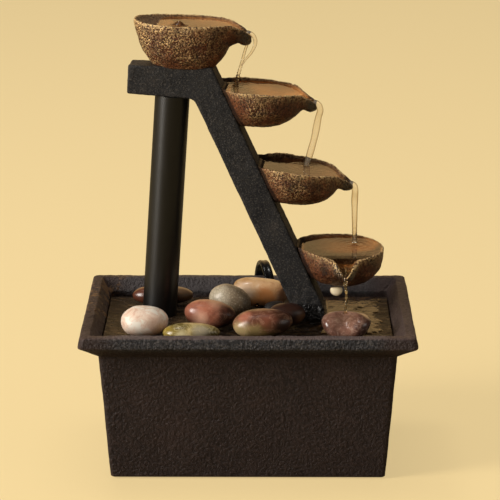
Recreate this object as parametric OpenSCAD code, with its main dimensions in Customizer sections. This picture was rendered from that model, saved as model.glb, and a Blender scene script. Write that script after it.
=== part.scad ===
// Tabletop water fountain.
// A tapered basin holds the water and a small submersible pump. A lift-off deck lies on a
// ledge inside the rim and carries everything above it: a bent frame, the riser column with
// the water tube inside it, four spouted bowls that pour into each other, and loose pebbles.
// Millimetres, +Z up, +X to the right, -Y to the front. The origin is on the table, under
// the middle of the basin.

/* [Basin] */
// Length of the basin over its rim
basin_l = 210; // [206:1:216]
// Depth of the basin over its rim, front to back
basin_d = 146; // [144:1:150]
// Height of the rim above the table
basin_h = 98; // [97:0.5:100]
// Height of the rim's outer face
rim_face = 7; // [5:0.5:8]
// Width of the rim's flat top
rim_w = 6; // [5:0.5:7]
// How far the rim stands out over the body below it
rim_over = 12.2; // [10:0.2:14]
// How far each side of the body leans in towards the base
body_lean = 6.2; // [5:0.2:8]
// Thickness of the basin's walls and floor
basin_wall = 5; // [4:0.5:6]
// Diameter of the four rubber feet
foot_d = 14; // [10:1:18]
// How far the feet stand below the basin
foot_stand = 1; // [0.6:0.2:2]

/* [Deck] */
// Thickness of the deck
deck_t = 4; // [3:0.5:5]
// Depth of the deck's top below the rim
deck_drop = 9; // [8.5:0.5:10]
// Gap behind the deck, where the water runs back into the basin
return_gap = 9.5; // [8.5:0.5:10]
// Clearance of the deck to the basin's inner sides
deck_gap = 0.5; // [0.3:0.1:1]
// Width of the notch that lets the power cord through the deck
notch_w = 12; // [11:0.5:13]

/* [Frame] */
// Thickness of the frame, front to back
frame_t = 20; // [19:0.5:22]
// Turn of the frame about the vertical, right end to the front
frame_turn = 4; // [3:0.5:5]
// Radius inside the corner between beam and leg
corner_r = 5; // [3:0.5:6]

/* [Column and tube] */
// Outer diameter of the riser column
column_d = 22; // [21:0.5:23]
// Inner diameter of the riser column
column_bore = 17; // [16:0.5:18]
// Outer diameter of the water tube
tube_d = 11; // [10.5:0.1:11.5]
// Diameter of the pump's outlet
outlet_d = 8; // [7:0.1:8]

/* [Bowls] */
// Width of a bowl across its rim
bowl_w = 53; // [50:1:54]
// Extra length of a bowl along its spout
bowl_stretch = 14; // [10:1:16]
// Extra length of the bottom bowl along its spout
bottom_bowl_stretch = 4; // [3:1:8]
// Wall thickness of a bowl
bowl_wall = 3; // [2.5:0.5:3.5]
// Wall thickness of a bowl where it meets the leg
leg_wall = 5; // [5:0.5:6]
// Width of the top bowl across its rim
top_bowl_w = 47; // [44:1:50]
// Diameter of the pins that hold the bowls to the frame
pin_d = 4; // [3:0.5:5]

/* [Pump] */
// Width and height of the pump's housing
pump_w = 32; // [31:0.5:33]
// Diameter of the impeller
impeller_d = 20; // [18:0.5:21]
// Diameter of the rotor's magnet
magnet_d = 13; // [12:0.5:13.5]
// Diameter of the ceramic shaft
shaft_d = 2; // [1.8:0.1:2.4]
// Number of blades on the impeller
blades = 6; // [4:1:8]

/* [Power cord] */
// Diameter of a round cord of the same section
cord_d = 4.5; // [4:0.5:5]
// Width of the plug
plug_w = 22; // [20:1:24]

/* [Hidden] */
$fn = 96;

rim_x = basin_l / 2;
rim_y = basin_d / 2;
rim_low = basin_h - rim_face;
rim_slope = 1.5;
body_top = rim_low - 8.4;
ledge_x = rim_x - 13.5;
ledge_y = rim_y - 13.5;
slope_foot = basin_h - 8;
deck_top = basin_h - deck_drop;
deck_low = deck_top - deck_t;
deck_back = ledge_y - return_gap;
notch_x = 14.5;
notch_front = 36;
floor_z = foot_stand + basin_wall;

// The frame stands in an upright plane through (0, frame_y), turned by frame_turn. Points of
// the frame, column and bowls are given in that plane as [along, up].
frame_y = 9;
beam_left_top = [-75, 253.5];
beam_left_low = [-76, 235.3];
beam_right_top = [-22.1, 252.6];
leg_shoulder = [-10.8, 228];
corner = [-33.6, 232.3];
beam_low = [-57.5, 234];
leg_right = [45.5, 105.5];
leg_left = [26.5, 101.5];
toe_right = [50, deck_top];
toe_left = [31, deck_top];

// The column leans a little to the right
column_foot = [-57.7, deck_top];
column_head = [-48.2, 233];
lean = atan((column_head[0] - column_foot[0]) / (column_head[1] - column_foot[1]));
tube_bore = outlet_d + 0.1;
tube_head = 268;
bend_z = 74;
bend_x = column_foot[0] - (deck_top - bend_z) * tan(lean);
tube_low = 50;

// Each bowl's middle of the rim plane, and its fall towards the spout in degrees
top_bowl_at = [-40, 280.2];
top_bowl_fall = 1.5;
top_bowl_depth = 28.6;
second_bowl_at = [2, 239.2];
second_bowl_fall = 4.5;
third_bowl_at = [26, 189.6];
third_bowl_fall = 8.5;
bottom_bowl_at = [60, 135.3];
bottom_bowl_fall = 2;
bottom_bowl_roll = 3.3;
bottom_bowl_back = 2.5;
bowl_depth = 24;
bowl_base_r = 7;

// The pump stands on suction cups, with its outlet right under the tube
pump_x = bend_x * cos(frame_turn);
pump_y = frame_y - bend_x * sin(frame_turn);
cup_h = 3;
pump_low = floor_z + cup_h;
pump_axis = pump_low + pump_w / 2;
pump_front = -9;
pump_back = 50;
chamber_r = impeller_d / 2 + 1.5;
chamber_end = 5;
well_r = magnet_d / 2 + 0.7;
well_wall = 1.3;
well_end = 31;
cover_t = 8;
cover_lip = 3;

// The cord comes from the pump, up through the notch, over the rim and down behind the basin
gland_end = 70;
cord_start = [pump_x + gland_end, pump_y, pump_axis];
route = [
  cord_start, [19, 13.2, 25], [27, 16, 26], [32, 22, 29], [33, 30, 35], [30, 37, 43],
  [25, 41, 53], [19, 42.8, 64], [15.6, 43, 75], [14.6, 43, 86], [14.3, 43.4, 95],
  [13.5, 46.5, 102], [12, 52.5, 107], [10.3, 60.5, 109], [8.8, 68.5, 107.4],
  [7.6, 75, 102.6], [6.8, 78.6, 95.6], [6.3, 79.7, 86], [6, 79.7, 72], [6, 79.5, 56],
  [5.8, 79.5, 40], [5, 80.4, 26], [3.6, 83.8, 14.5], [2.2, 90, 6.6], [1.4, 98, 3.4],
  [2, 106, 2.8], [4.2, 113, 3.4]
];
coil_at = [-26, 124];
coil_in = 16.4;
coil_out = 33.6;
coil_h = 13;
coil_low = 0.6;
tail = [
  [-30, 155.8, 9.6], [-38, 156.4, 8.6], [-47, 156.5, 7], [-56, 155.4, 5.8], [-64, 151.4, 5.5],
  [-69.4, 144.6, 5.5], [-71.5, 136, 5.5]
];
plug_at = tail[6];
plug_dir = 261;
blade_gap = 12.7;

// ---------- helpers ----------

// Places children given in the frame's own plane, with x along it, y through it and z up
module in_frame() {
  translate([0, frame_y, 0])
    rotate([0, 0, -frame_turn])
      children();
}

// Extrudes an outline of [along, up] points through a thickness t
module upright(points, t) {
  rotate([90, 0, 0])
    linear_extrude(height = t, center = true)
      polygon(points);
}

// The solid that has one outline seen from the front and another seen from the side
module from_outlines(front, side, size) {
  intersection() {
    upright(front, size);
    rotate([0, 0, 90])
      upright(side, size);
  }
}

// A rectangle with round corners
module round_rect(l, w, r) {
  square([l - 2 * r, w], center = true);
  square([l, w - 2 * r], center = true);
  for (x = [-1, 1], y = [-1, 1])
    translate([x * (l / 2 - r), y * (w / 2 - r)])
      circle(r);
}

// The outline's right half followed by its mirror image
function both_sides(half) = concat(half, [for (i = [len(half) - 1:-1:0]) [-half[i][0], half[i][1]]]);

function unit(v) = v / norm(v);

// ---------- basin ----------

// Outer outline of the basin, half of it, for the rim's half length or half depth m
function basin_outer(m) = [
  [m - rim_over - body_lean, foot_stand], [m - rim_over, body_top], [m, rim_low],
  [m - rim_slope, basin_h]
];

// Outline of the space inside the basin, open at the top
function basin_inner(m) = [
  [m - rim_over - body_lean - basin_wall, floor_z], [m - rim_over - basin_wall, deck_low],
  [m - 13.5, deck_low], [m - 13.5, slope_foot], [m - rim_slope - rim_w, basin_h],
  [m - rim_slope - rim_w, basin_h + 5]
];

foot_places = [for (x = [-1, 1], y = [-1, 1]) [x * (rim_x - 30), y * (rim_y - 30)]];

module basin() {
  color([0.17, 0.13, 0.115])
    difference() {
      intersection() {
        linear_extrude(height = basin_h)
          round_rect(basin_l, basin_d, 4);
        from_outlines(both_sides(basin_outer(rim_x)), both_sides(basin_outer(rim_y)), 300);
      }
      from_outlines(both_sides(basin_inner(rim_x)), both_sides(basin_inner(rim_y)), 300);
      for (p = foot_places)
        translate([p[0], p[1], 0])
          cylinder(d = foot_d, h = foot_stand + 1.5);
    }
}

module basin_feet() {
  color([0.09, 0.09, 0.09])
    for (p = foot_places)
      translate([p[0], p[1], 0])
        cylinder(d = foot_d, h = foot_stand + 1.5);
}

// ---------- deck ----------

module deck() {
  deck_l = 2 * (ledge_x - deck_gap);
  deck_front = -(ledge_y - deck_gap);
  color([0.24, 0.2, 0.18])
    difference() {
      union() {
        translate([-deck_l / 2, deck_front, deck_low])
          cube([deck_l, deck_back - deck_front, deck_t]);
        for (x = [-20, 70])
          translate([x, -40, deck_low - 6])
            cube([2.5, 60, 6]);
        in_frame()
          translate([column_foot[0], 0, deck_top])
            cylinder(d = column_bore - 0.8, h = 2);
      }
      translate([notch_x - notch_w / 2, notch_front, deck_low - 1])
        cube([notch_w, 40, deck_t + 2]);
      in_frame()
        translate([column_foot[0], 0, deck_top])
          rotate([0, lean, 0])
            cylinder(d = tube_d + 1.4, h = 20, center = true);
    }
}

// ---------- frame ----------

// Points of the arc, radius r, that rounds corner p between edges towards points a and b
function arc_points(p, a, b, r, n) =
  let (
    u = unit(a - p), v = unit(b - p), half = acos(u * v) / 2,
    mid = p + unit(u + v) * r / sin(half), from = p + u * r / tan(half) - mid,
    sweep = 180 - 2 * half, start = atan2(from[1], from[0])
  )
    [for (k = [0:n]) mid + r * [cos(start + sweep * k / n), sin(start + sweep * k / n)]];

// Outline of the frame: the beam, the leg and its slightly flared toe
frame_outline = concat(
  [beam_left_top, beam_right_top, leg_shoulder, leg_right, [49.4, 96.5], toe_right, toe_left],
  [[29, 97], leg_left],
  arc_points(corner, leg_left, beam_low, corner_r, 8),
  [beam_low, beam_left_low]
);

module tube_axis_cylinder(d, from_z, to_z) {
  translate([column_foot[0], 0, deck_top])
    rotate([0, lean, 0])
      translate([0, 0, (from_z - deck_top) / cos(lean)])
        cylinder(d = d, h = (to_z - from_z) / cos(lean));
}

// The pins run from the leg into the bowls, each one square to the leg's right edge
function edge_x(z) =
  leg_right[0] + (leg_shoulder[0] - leg_right[0]) * (z - leg_right[1]) / (leg_shoulder[1] - leg_right[1]);
leg_turn = atan2(leg_shoulder[0] - leg_right[0], leg_shoulder[1] - leg_right[1]);
pin_heights = [224, 175.5, 122];

module pins() {
  for (z = pin_heights)
    in_frame()
      translate([edge_x(z), 0, z])
        rotate([0, 90 + leg_turn, 0])
          translate([0, 0, -12])
            cylinder(d = pin_d, h = 16, $fn = 48);
}

module frame() {
  color([0.27, 0.27, 0.27])
    difference() {
      in_frame()
        difference() {
          upright(frame_outline, frame_t);
          tube_axis_cylinder(tube_d + 0.6, 225, 260);
        }
      pins();
    }
}

// ---------- column and tube ----------

module riser_column() {
  color([0.19, 0.16, 0.14])
    in_frame()
      difference() {
        tube_axis_cylinder(column_d, 80, 250);
        tube_axis_cylinder(column_bore, 70, 260);
        translate([-100, -20, deck_top - 20])
          cube([100, 40, 20]);
        upright([beam_left_low, beam_low, corner, corner + [0, 60], beam_left_low + [0, 60]], 40);
      }
}

// The tube leans inside the column, turns upright below the deck and slips on the outlet
module riser_tube() {
  color([0.8, 0.83, 0.84])
    in_frame() {
      difference() {
        tube_axis_cylinder(tube_d, bend_z - 10, tube_head);
        tube_axis_cylinder(tube_bore, bend_z - 11, tube_head + 1);
        below_bend();
      }
      intersection() {
        translate([bend_x, 0, tube_low])
          difference() {
            cylinder(d = tube_d, h = 40);
            translate([0, 0, -1])
              cylinder(d = tube_bore, h = 42);
          }
        below_bend();
      }
    }
}

// The space below the plane that halves the tube's bend
module below_bend() {
  translate([bend_x, 0, bend_z])
    rotate([0, lean / 2, 0])
      translate([-20, -20, -60])
        cube([40, 40, 60]);
}

module outlet_grommet() {
  color([0.12, 0.12, 0.12])
    in_frame()
      difference() {
        union() {
          tube_axis_cylinder(tube_d + 3, 249, 262);
          tube_axis_cylinder(tube_d + 7, 254.8, 257);
        }
        tube_axis_cylinder(tube_d, 240, 270);
        frame_beam_top();
      }
}

// Everything below the beam's top face
module frame_beam_top() {
  slope = beam_right_top - beam_left_top;
  upright([
    beam_left_top - 2 * slope, beam_right_top + 2 * slope, beam_right_top + [0, -60],
    beam_left_top + [0, -60]
  ], 80);
}

// ---------- bowls ----------

// Right half of a bowl's section: an arc from the rim, radius r, to the base, radius b
module bowl_section(r, b, depth, rise) {
  mid = (r + b) / 2 - depth * depth / (2 * (r - b));
  intersection() {
    translate([mid, 0])
      circle(r - mid, $fn = 160);
    translate([0, -depth])
      square([r, depth + rise]);
  }
}

// A round section drawn out by s along x: two half turns with a straight piece between them
module oval_turn(s) {
  for (side = [0, 180])
    rotate([0, 0, side])
      translate([s / 2, 0, 0])
        rotate([0, 0, -90])
          rotate_extrude(angle = 180)
            children();
  for (side = [0, 180])
    rotate([0, 0, side])
      translate([-s / 2, 0, 0])
        rotate([90, 0, 90])
          linear_extrude(height = s)
            children();
}

// The spout's outline seen from the side: a beak that droops from the rim, then its channel
beak_side = [
  [14, 0], [34, 0], [39, -1.8], [42.6, -5], [42.2, -8.6], [39.8, -12.6], [36.5, -13.6],
  [32, -12.8], [22, -18], [14, -18]
];
channel_side = [[16, 5], [45, 5], [45, -7.4], [33, -4.6], [16, -3.8]];

// The spout and its channel seen from above
beak_top = [[14, -13], [28, -11], [34, -7.6], [40, -4.4], [43, -3.8]];
channel_top = [[16, -8], [28, -6.2], [34, -4.2], [40, -2.2], [45, -1.9]];

function mirrored(half) = concat(half, [for (i = [len(half) - 1:-1:0]) [half[i][0], -half[i][1]]]);

module from_side_and_top(side, top) {
  intersection() {
    upright(side, 60);
    translate([0, 0, -40])
      linear_extrude(height = 60)
        polygon(mirrored(top));
  }
}

// A bowl with its rim plane at z = 0 and its spout along +x, and the hollow inside it
module bowl_outside(w, depth, base_r, stretch = bowl_stretch) {
  oval_turn(stretch)
    bowl_section(w / 2, base_r, depth, 0);
  translate([(stretch - bowl_stretch) / 2, 0, 0])
    from_side_and_top(beak_side, beak_top);
}

module bowl_hollow(w, depth, base_r, stretch = bowl_stretch) {
  oval_turn(stretch)
    bowl_section(w / 2 - bowl_wall, base_r - 2, depth - bowl_wall, 6);
}

module bowl_channel(stretch = bowl_stretch) {
  translate([(stretch - bowl_stretch) / 2, 0, 0])
    from_side_and_top(channel_side, channel_top);
}

// Puts a bowl at its place p in the frame's plane, or behind it by back, with its spout turned by turn
module place_bowl(p, fall, turn = 0, roll = 0, back = 0) {
  in_frame()
    translate([p[0], back, p[1]])
      rotate([0, roll, 0])
        rotate([0, 0, turn])
          rotate([0, fall, 0])
            children();
}

module top_bowl() {
  color([0.46, 0.34, 0.24])
    difference() {
      place_bowl(top_bowl_at, top_bowl_fall)
        difference() {
          bowl_outside(top_bowl_w, top_bowl_depth, 12.5);
          bowl_hollow(top_bowl_w, top_bowl_depth, 12.5);
          bowl_channel();
        }
      in_frame() {
        frame_beam_top();
        tube_axis_cylinder(tube_d + 3, 240, 262);
        tube_axis_cylinder(tube_d + 7, 254.8, 257);
      }
    }
}

// A bowl on the leg's side is cut off against the leg and closed there by a thicker wall
module side_bowl(p, fall, turn = 0, roll = 0, back = 0, stretch = bowl_stretch) {
  difference() {
    place_bowl(p, fall, turn, roll, back)
      bowl_outside(bowl_w, bowl_depth, bowl_base_r, stretch);
    difference() {
      place_bowl(p, fall, turn, roll, back)
        bowl_hollow(bowl_w, bowl_depth, bowl_base_r, stretch);
      leg_side(leg_wall);
    }
    place_bowl(p, fall, turn, roll, back)
      bowl_channel(stretch);
    leg_side(0);
    pins();
  }
}

// Everything up to a distance past the leg's right edge
module leg_side(past) {
  in_frame()
    translate([edge_x(150), 0, 150])
      rotate([0, leg_turn, 0])
        translate([past - 100, -50, -160])
          cube([100, 100, 320]);
}

module second_bowl() {
  color([0.46, 0.34, 0.24])
    side_bowl(second_bowl_at, second_bowl_fall);
}

module third_bowl() {
  color([0.46, 0.35, 0.25])
    side_bowl(third_bowl_at, third_bowl_fall);
}

module bottom_bowl() {
  color([0.44, 0.33, 0.22])
    side_bowl(
      bottom_bowl_at, bottom_bowl_fall, -86, bottom_bowl_roll,
      bottom_bowl_back, bottom_bowl_stretch
    );
}

module bowl_pins() {
  color([0.72, 0.72, 0.72])
    pins();
}

// ---------- pebbles ----------

// A smooth pebble of length l, width w and height h, thicker at one end by the share thick
module pebble(l, w, h, thick = 0.15) {
  hull() {
    scale([l / 2, w / 2, h / 2])
      sphere(1, $fn = 32);
    translate([-l * thick, 0, 0])
      scale([l * (0.5 - thick), w * 0.49, h * 0.5])
        sphere(1, $fn = 28);
  }
}

module stone_at(x, y, h, lift = 0, turn = 0, tip = 0) {
  translate([x, y, deck_top + lift + h / 2])
    rotate([0, 0, turn])
      rotate([0, tip, 0])
        children();
}

module stone_cream() {
  color([0.9, 0.83, 0.74])
    stone_at(-65, -36, 18.6)
      pebble(30, 26, 18.6, 0.1);
}

module stone_olive() {
  color([0.66, 0.62, 0.36])
    stone_at(-35, -49.4, 12, 0, 4)
      pebble(36, 17, 12, 0.2);
}

module stone_red() {
  color([0.6, 0.41, 0.33])
    stone_at(-24, -21.5, 18, 0.6, -8, 4)
      pebble(33, 22, 18, 0.15);
}

module stone_grey() {
  color([0.6, 0.56, 0.48])
    stone_at(-11.8, 4.6, 21, 0.6, -20, 10)
      pebble(28, 20, 20, 0.1);
}

module stone_peach() {
  color([0.78, 0.6, 0.42])
    stone_at(7.4, 27.8, 19, 0.3, 0, 2)
      pebble(36.5, 19.5, 18, 0.2);
}

module stone_brown() {
  color([0.56, 0.4, 0.28])
    stone_at(9.4, -42, 19, 0.4, 0, -5)
      pebble(38, 24, 18, 0.16);
}

module stone_dark() {
  color([0.3, 0.22, 0.17])
    stone_at(-56, 34.4, 12)
      pebble(40, 17, 12, 0.12);
}

module stone_maroon() {
  color([0.6, 0.44, 0.4])
    stone_at(61.6, -39.5, 15.5)
      pebble(31.5, 25, 15.5, 0.06);
}

module stone_russet() {
  color([0.38, 0.24, 0.17])
    stone_at(24.6, -15.5, 15, 0, 12)
      pebble(24, 17, 15, 0.1);
}

module stone_pale() {
  color([0.7, 0.68, 0.6])
    stone_at(17.5, 6.5, 10, 0, 30)
      pebble(17, 12, 10, 0.1);
}

// ---------- pump ----------

// Pump parts are drawn with x along the rotor's axis, starting under the outlet
module in_pump() {
  translate([pump_x, pump_y, pump_axis])
    children();
}

module along_x(d, from_x, to_x) {
  translate([from_x, 0, 0])
    rotate([0, 90, 0])
      cylinder(d = d, h = to_x - from_x, $fn = 96);
}

module block(x0, x1, w, z0, z1) {
  translate([x0, -w / 2, z0])
    cube([x1 - x0, w, z1 - z0]);
}

half_pump = pump_w / 2;

module pump_cavity() {
  difference() {
    block(chamber_end + 2, pump_back, pump_w - 4, -half_pump + 2, half_pump - 2);
    along_x(2 * (well_r + well_wall), 0, well_end);
  }
}

module pump_housing() {
  color([0.1, 0.1, 0.11])
    in_pump()
      difference() {
        union() {
          block(pump_front, pump_back, pump_w, -half_pump, half_pump);
          block(pump_front - cover_lip, pump_front, pump_w - 4, -half_pump + 2, half_pump - 2);
          translate([0, 0, half_pump])
            cylinder(d = outlet_d + 5, h = 2);
          cylinder(d = outlet_d, h = half_pump + 19);
        }
        along_x(2 * chamber_r, pump_front - cover_lip - 1, chamber_end);
        along_x(2 * well_r, 0, well_end - well_wall);
        pump_cavity();
        cylinder(d = outlet_d - 2.4, h = half_pump + 20);
      }
}

// A laminated core shaped like a C around the rotor's well
module core_solid() {
  difference() {
    union() {
      block(9, 42, 12, 8.2, 13);
      block(9, 42, 12, -13, -8.2);
      block(37, 42, 12, -8.2, 8.2);
    }
    along_x(2 * (well_r + well_wall) + 0.4, 0, well_end + 0.4);
  }
}

module pump_core() {
  color([0.5, 0.52, 0.55])
    in_pump()
      core_solid();
}

module coil_solid() {
  difference() {
    block(33, 46, 22, -8, 8);
    block(36.8, 42.2, 12.4, -9, 9);
  }
}

module pump_coil() {
  color([0.66, 0.36, 0.16])
    in_pump()
      coil_solid();
}

module pump_potting() {
  color([0.13, 0.13, 0.14])
    in_pump()
      difference() {
        pump_cavity();
        core_solid();
        block(33, 46, 22, -8, 8);
      }
}

module pump_shaft() {
  color([0.92, 0.91, 0.88])
    in_pump()
      along_x(shaft_d, pump_front - cover_lip - 1.5, well_end - well_wall - 0.5);
}

module shaft_bushes() {
  color([0.2, 0.2, 0.2])
    in_pump()
      difference() {
        along_x(5, well_end - well_wall - 2.5, well_end - well_wall);
        along_x(shaft_d, 0, well_end - well_wall - 0.5);
      }
}

module rotor_magnet() {
  color([0.3, 0.3, 0.32])
    in_pump()
      difference() {
        along_x(magnet_d, chamber_end + 0.5, well_end - well_wall - 3);
        along_x(shaft_d + 0.1, 0, 40);
      }
}

module impeller() {
  color([0.85, 0.86, 0.88])
    in_pump()
      difference() {
        union() {
          along_x(impeller_d, chamber_end - 2, chamber_end - 0.7);
          along_x(magnet_d - 3, -6, chamber_end + 0.5);
          for (i = [0:blades - 1])
            rotate([i * 360 / blades, 0, 0])
              translate([-5.4, -0.6, 2.5])
                cube([chamber_end + 4, 1.2, impeller_d / 2 - 2.9]);
        }
        along_x(shaft_d + 0.1, -30, 40);
      }
}

cover_front = pump_front - cover_t;

module intake_cover() {
  color([0.12, 0.12, 0.13])
    in_pump()
      difference() {
        block(cover_front, pump_front, pump_w, -half_pump, half_pump);
        block(pump_front - cover_lip - 0.05, pump_front + 1, pump_w - 3.9, 1.95 - half_pump,
          half_pump - 1.95);
        along_x(2 * chamber_r, cover_front + 1.5, pump_front);
        along_x(5, cover_front - 1, cover_front + 2);
        for (z = [-12:4:12])
          translate([cover_front - 1, -11, z - 0.9])
            cube([4, 7, 1.8]);
        for (z = [-12:4:12])
          translate([cover_front - 1, 4, z - 0.9])
            cube([4, 7, 1.8]);
      }
}

// The dial turns on a stub through the cover's face and shades part of the inlet slots
module flow_dial() {
  color([0.16, 0.16, 0.17])
    in_pump() {
      along_x(4.9, cover_front - 1.3, cover_front + 2.6);
      translate([cover_front - 1.3, 0, 0])
        rotate([0, 90, 0])
          linear_extrude(height = 1.2)
            difference() {
              circle(d = 16);
              for (a = [0, 180])
                rotate(a)
                  polygon([[3, -3], [3, 3], [20, 9], [20, -9]]);
            }
    }
}

module suction_cups() {
  color([0.15, 0.15, 0.15])
    in_pump()
      for (x = [0, 42], y = [-9, 9])
        translate([x, y, -half_pump - cup_h]) {
          cylinder(d = 8, h = 1.2, $fn = 48);
          cylinder(d = 4.5, h = cup_h, $fn = 48);
        }
}

// ---------- power cord ----------

// The gland's end rides a little over the cord's own diameter and tapers towards the cord
module cord_gland() {
  color([0.1, 0.1, 0.1])
    in_pump()
      rotate([0, 90, 0])
        rotate_extrude()
          polygon([[0, pump_back], [5, pump_back], [5, pump_back + 3], [4.2, pump_back + 4],
            [2.8, gland_end], [0, gland_end]]);
}

// A smooth curve through the route's points, n steps between each pair of points
function curve_point(p, i, t) =
  let (a = p[max(i - 1, 0)], b = p[i], c = p[i + 1], d = p[min(i + 2, len(p) - 1)])
    0.5 * (2 * b + (c - a) * t + (2 * a - 5 * b + 4 * c - d) * t * t
      + (3 * b - a - 3 * c + d) * t * t * t);
function curve(p, n) =
  concat([for (i = [0:len(p) - 2], k = [0:n - 1]) curve_point(p, i, k / n)], [p[len(p) - 1]]);

// Direction of the line at point i, and two directions square to it. The first of them stays
// level, or points along x where the line is upright.
function heading(p, i) = unit(p[min(i + 1, len(p) - 1)] - p[max(i - 1, 0)]);
function level(h) = unit(cross([0, -h[2] * 0.99, abs(h[2]) + 0.05], h));

function ring(p, i, d, sides) =
  let (h = heading(p, i), u = level(h), v = cross(h, u))
    [for (k = [0:sides - 1]) p[i] + d / 2 * (cos(k * 360 / sides) * u + sin(k * 360 / sides) * v)];

module swept_tube(line, d, sides) {
  n = len(line);
  points = [for (i = [0:n - 1]) each ring(line, i, d, sides)];
  walls = [
    for (i = [0:n - 2], k = [0:sides - 1])
      let (a = i * sides + k, b = i * sides + (k + 1) % sides)
        each [[a, b, b + sides], [a, b + sides, a + sides]]
  ];
  polyhedron(
    points,
    concat([[for (k = [sides - 1:-1:0]) k]], walls, [[for (k = [0:sides - 1]) (n - 1) * sides + k]]),
    convexity = 6
  );
}

module power_cord() {
  color([0.06, 0.06, 0.06])
    swept_tube(curve(route, 2), cord_d, 8);
}

module power_cord_coil() {
  color([0.06, 0.06, 0.06])
    translate([coil_at[0], coil_at[1], coil_low])
      rotate_extrude()
        translate([(coil_in + coil_out) / 2, coil_h / 2])
          round_rect(coil_out - coil_in, coil_h, 3);
}

module power_cord_tail() {
  color([0.06, 0.06, 0.06])
    swept_tube(curve(tail, 3), cord_d, 8);
}

// A thin strap around the bundle, on the side away from the basin
module cord_tie() {
  color([0.12, 0.12, 0.12])
    translate([coil_at[0], coil_at[1], 0])
      rotate([0, 0, 60])
        difference() {
          translate([coil_in - 0.6, -5, 0])
            cube([coil_out - coil_in + 1.2, 10, coil_h + 2 * coil_low]);
          translate([0, 0, coil_low])
            rotate_extrude()
              translate([(coil_in + coil_out) / 2, coil_h / 2])
                round_rect(coil_out - coil_in, coil_h, 3);
        }
}

// Plug parts are drawn with x from the cord towards the blades, starting at the cord's end
module in_plug() {
  translate(plug_at)
    rotate([0, 0, plug_dir])
      children();
}

module plug_body() {
  color([0.06, 0.06, 0.06])
    in_plug()
      difference() {
        union() {
          rotate([0, 90, 0])
            cylinder(d1 = 6, d2 = 9, h = 21, $fn = 64);
          translate([20, 0, -plug_at[2]])
            linear_extrude(height = 11)
              polygon([[0, -6], [5, -plug_w / 2 + 2], [18, -plug_w / 2], [21, -plug_w / 2],
                [21, plug_w / 2], [18, plug_w / 2], [5, plug_w / 2 - 2], [0, 6]]);
        }
        blade_pair(36);
      }
}

module blade_pair(from_x) {
  for (y = [-1, 1])
    translate([from_x, y * blade_gap / 2 - 0.75, -3.2])
      cube([41 + 16.5 - from_x, 1.5, 6.4]);
}

module plug_blades() {
  color([0.78, 0.74, 0.62])
    in_plug()
      blade_pair(36);
}

basin();
basin_feet();
deck();
frame();
riser_column();
riser_tube();
outlet_grommet();
top_bowl();
second_bowl();
third_bowl();
bottom_bowl();
bowl_pins();
stone_cream();
stone_olive();
stone_red();
stone_grey();
stone_peach();
stone_brown();
stone_dark();
stone_maroon();
stone_russet();
stone_pale();
pump_housing();
pump_core();
pump_coil();
pump_potting();
pump_shaft();
shaft_bushes();
rotor_magnet();
impeller();
intake_cover();
flow_dial();
suction_cups();
cord_gland();
power_cord();
power_cord_coil();
power_cord_tail();
cord_tie();
plug_body();
plug_blades();
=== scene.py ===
import math
from collections import namedtuple

import bmesh
import bpy
import numpy as np
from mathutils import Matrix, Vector, noise


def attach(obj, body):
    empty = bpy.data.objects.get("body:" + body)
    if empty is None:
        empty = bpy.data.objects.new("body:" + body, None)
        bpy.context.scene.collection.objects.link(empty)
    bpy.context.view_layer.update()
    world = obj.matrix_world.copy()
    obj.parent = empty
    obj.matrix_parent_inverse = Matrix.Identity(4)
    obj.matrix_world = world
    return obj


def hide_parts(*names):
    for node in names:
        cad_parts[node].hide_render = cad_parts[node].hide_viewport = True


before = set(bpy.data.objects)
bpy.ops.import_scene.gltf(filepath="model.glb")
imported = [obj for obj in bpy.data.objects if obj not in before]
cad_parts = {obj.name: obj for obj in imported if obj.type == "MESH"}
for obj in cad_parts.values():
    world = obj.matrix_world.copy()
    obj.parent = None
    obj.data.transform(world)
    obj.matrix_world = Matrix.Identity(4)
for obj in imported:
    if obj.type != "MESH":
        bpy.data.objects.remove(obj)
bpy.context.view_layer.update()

scene = bpy.context.scene
MM = 0.001

# ---------- camera ----------


# the photo's own camera: a long lens from slightly above
CAMERA_YAW, CAMERA_PITCH = math.radians(0.32), math.radians(15.3)
CAMERA_AIM, CAMERA_DISTANCE = Vector((1, 0, 134.8)) * MM, 1604.6 * MM
SENSOR, FOCAL_LENGTH, PICTURE_WIDTH = 36, 2518, 500


def aimed(data, place, ahead):
    """An object for a camera's or a lamp's data, at a place, looking ahead."""
    obj = bpy.data.objects.new(data.name, data)
    scene.collection.objects.link(obj)
    obj.location = place
    obj.rotation_mode = "QUATERNION"
    obj.rotation_quaternion = ahead.to_track_quat("-Z", "Y")
    return obj


def make_camera():
    level = math.cos(CAMERA_PITCH)
    ahead = Vector((-math.sin(CAMERA_YAW) * level, math.cos(CAMERA_YAW) * level, -math.sin(CAMERA_PITCH)))
    data = bpy.data.cameras.new("camera")
    data.sensor_width = SENSOR
    data.lens = SENSOR * FOCAL_LENGTH / PICTURE_WIDTH
    data.clip_start, data.clip_end = 0.05, 50
    scene.camera = aimed(data, CAMERA_AIM - ahead * CAMERA_DISTANCE, ahead)


make_camera()

# ---------- meshes ----------


def link(name, mesh, smooth=True):
    obj = bpy.data.objects.new(name, mesh)
    scene.collection.objects.link(obj)
    if smooth:
        mesh.shade_smooth()
    return obj


def mesh_object(name, verts, faces):
    """A new piece from points in millimetres."""
    mesh = bpy.data.meshes.new(name)
    mesh.from_pydata([tuple(c * MM for c in v) for v in verts], [], faces)
    mesh.validate()
    bm = bmesh.new()
    bm.from_mesh(mesh)
    bmesh.ops.recalc_face_normals(bm, faces=bm.faces)
    bm.to_mesh(mesh)
    bm.free()
    return link(name, mesh)


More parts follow.
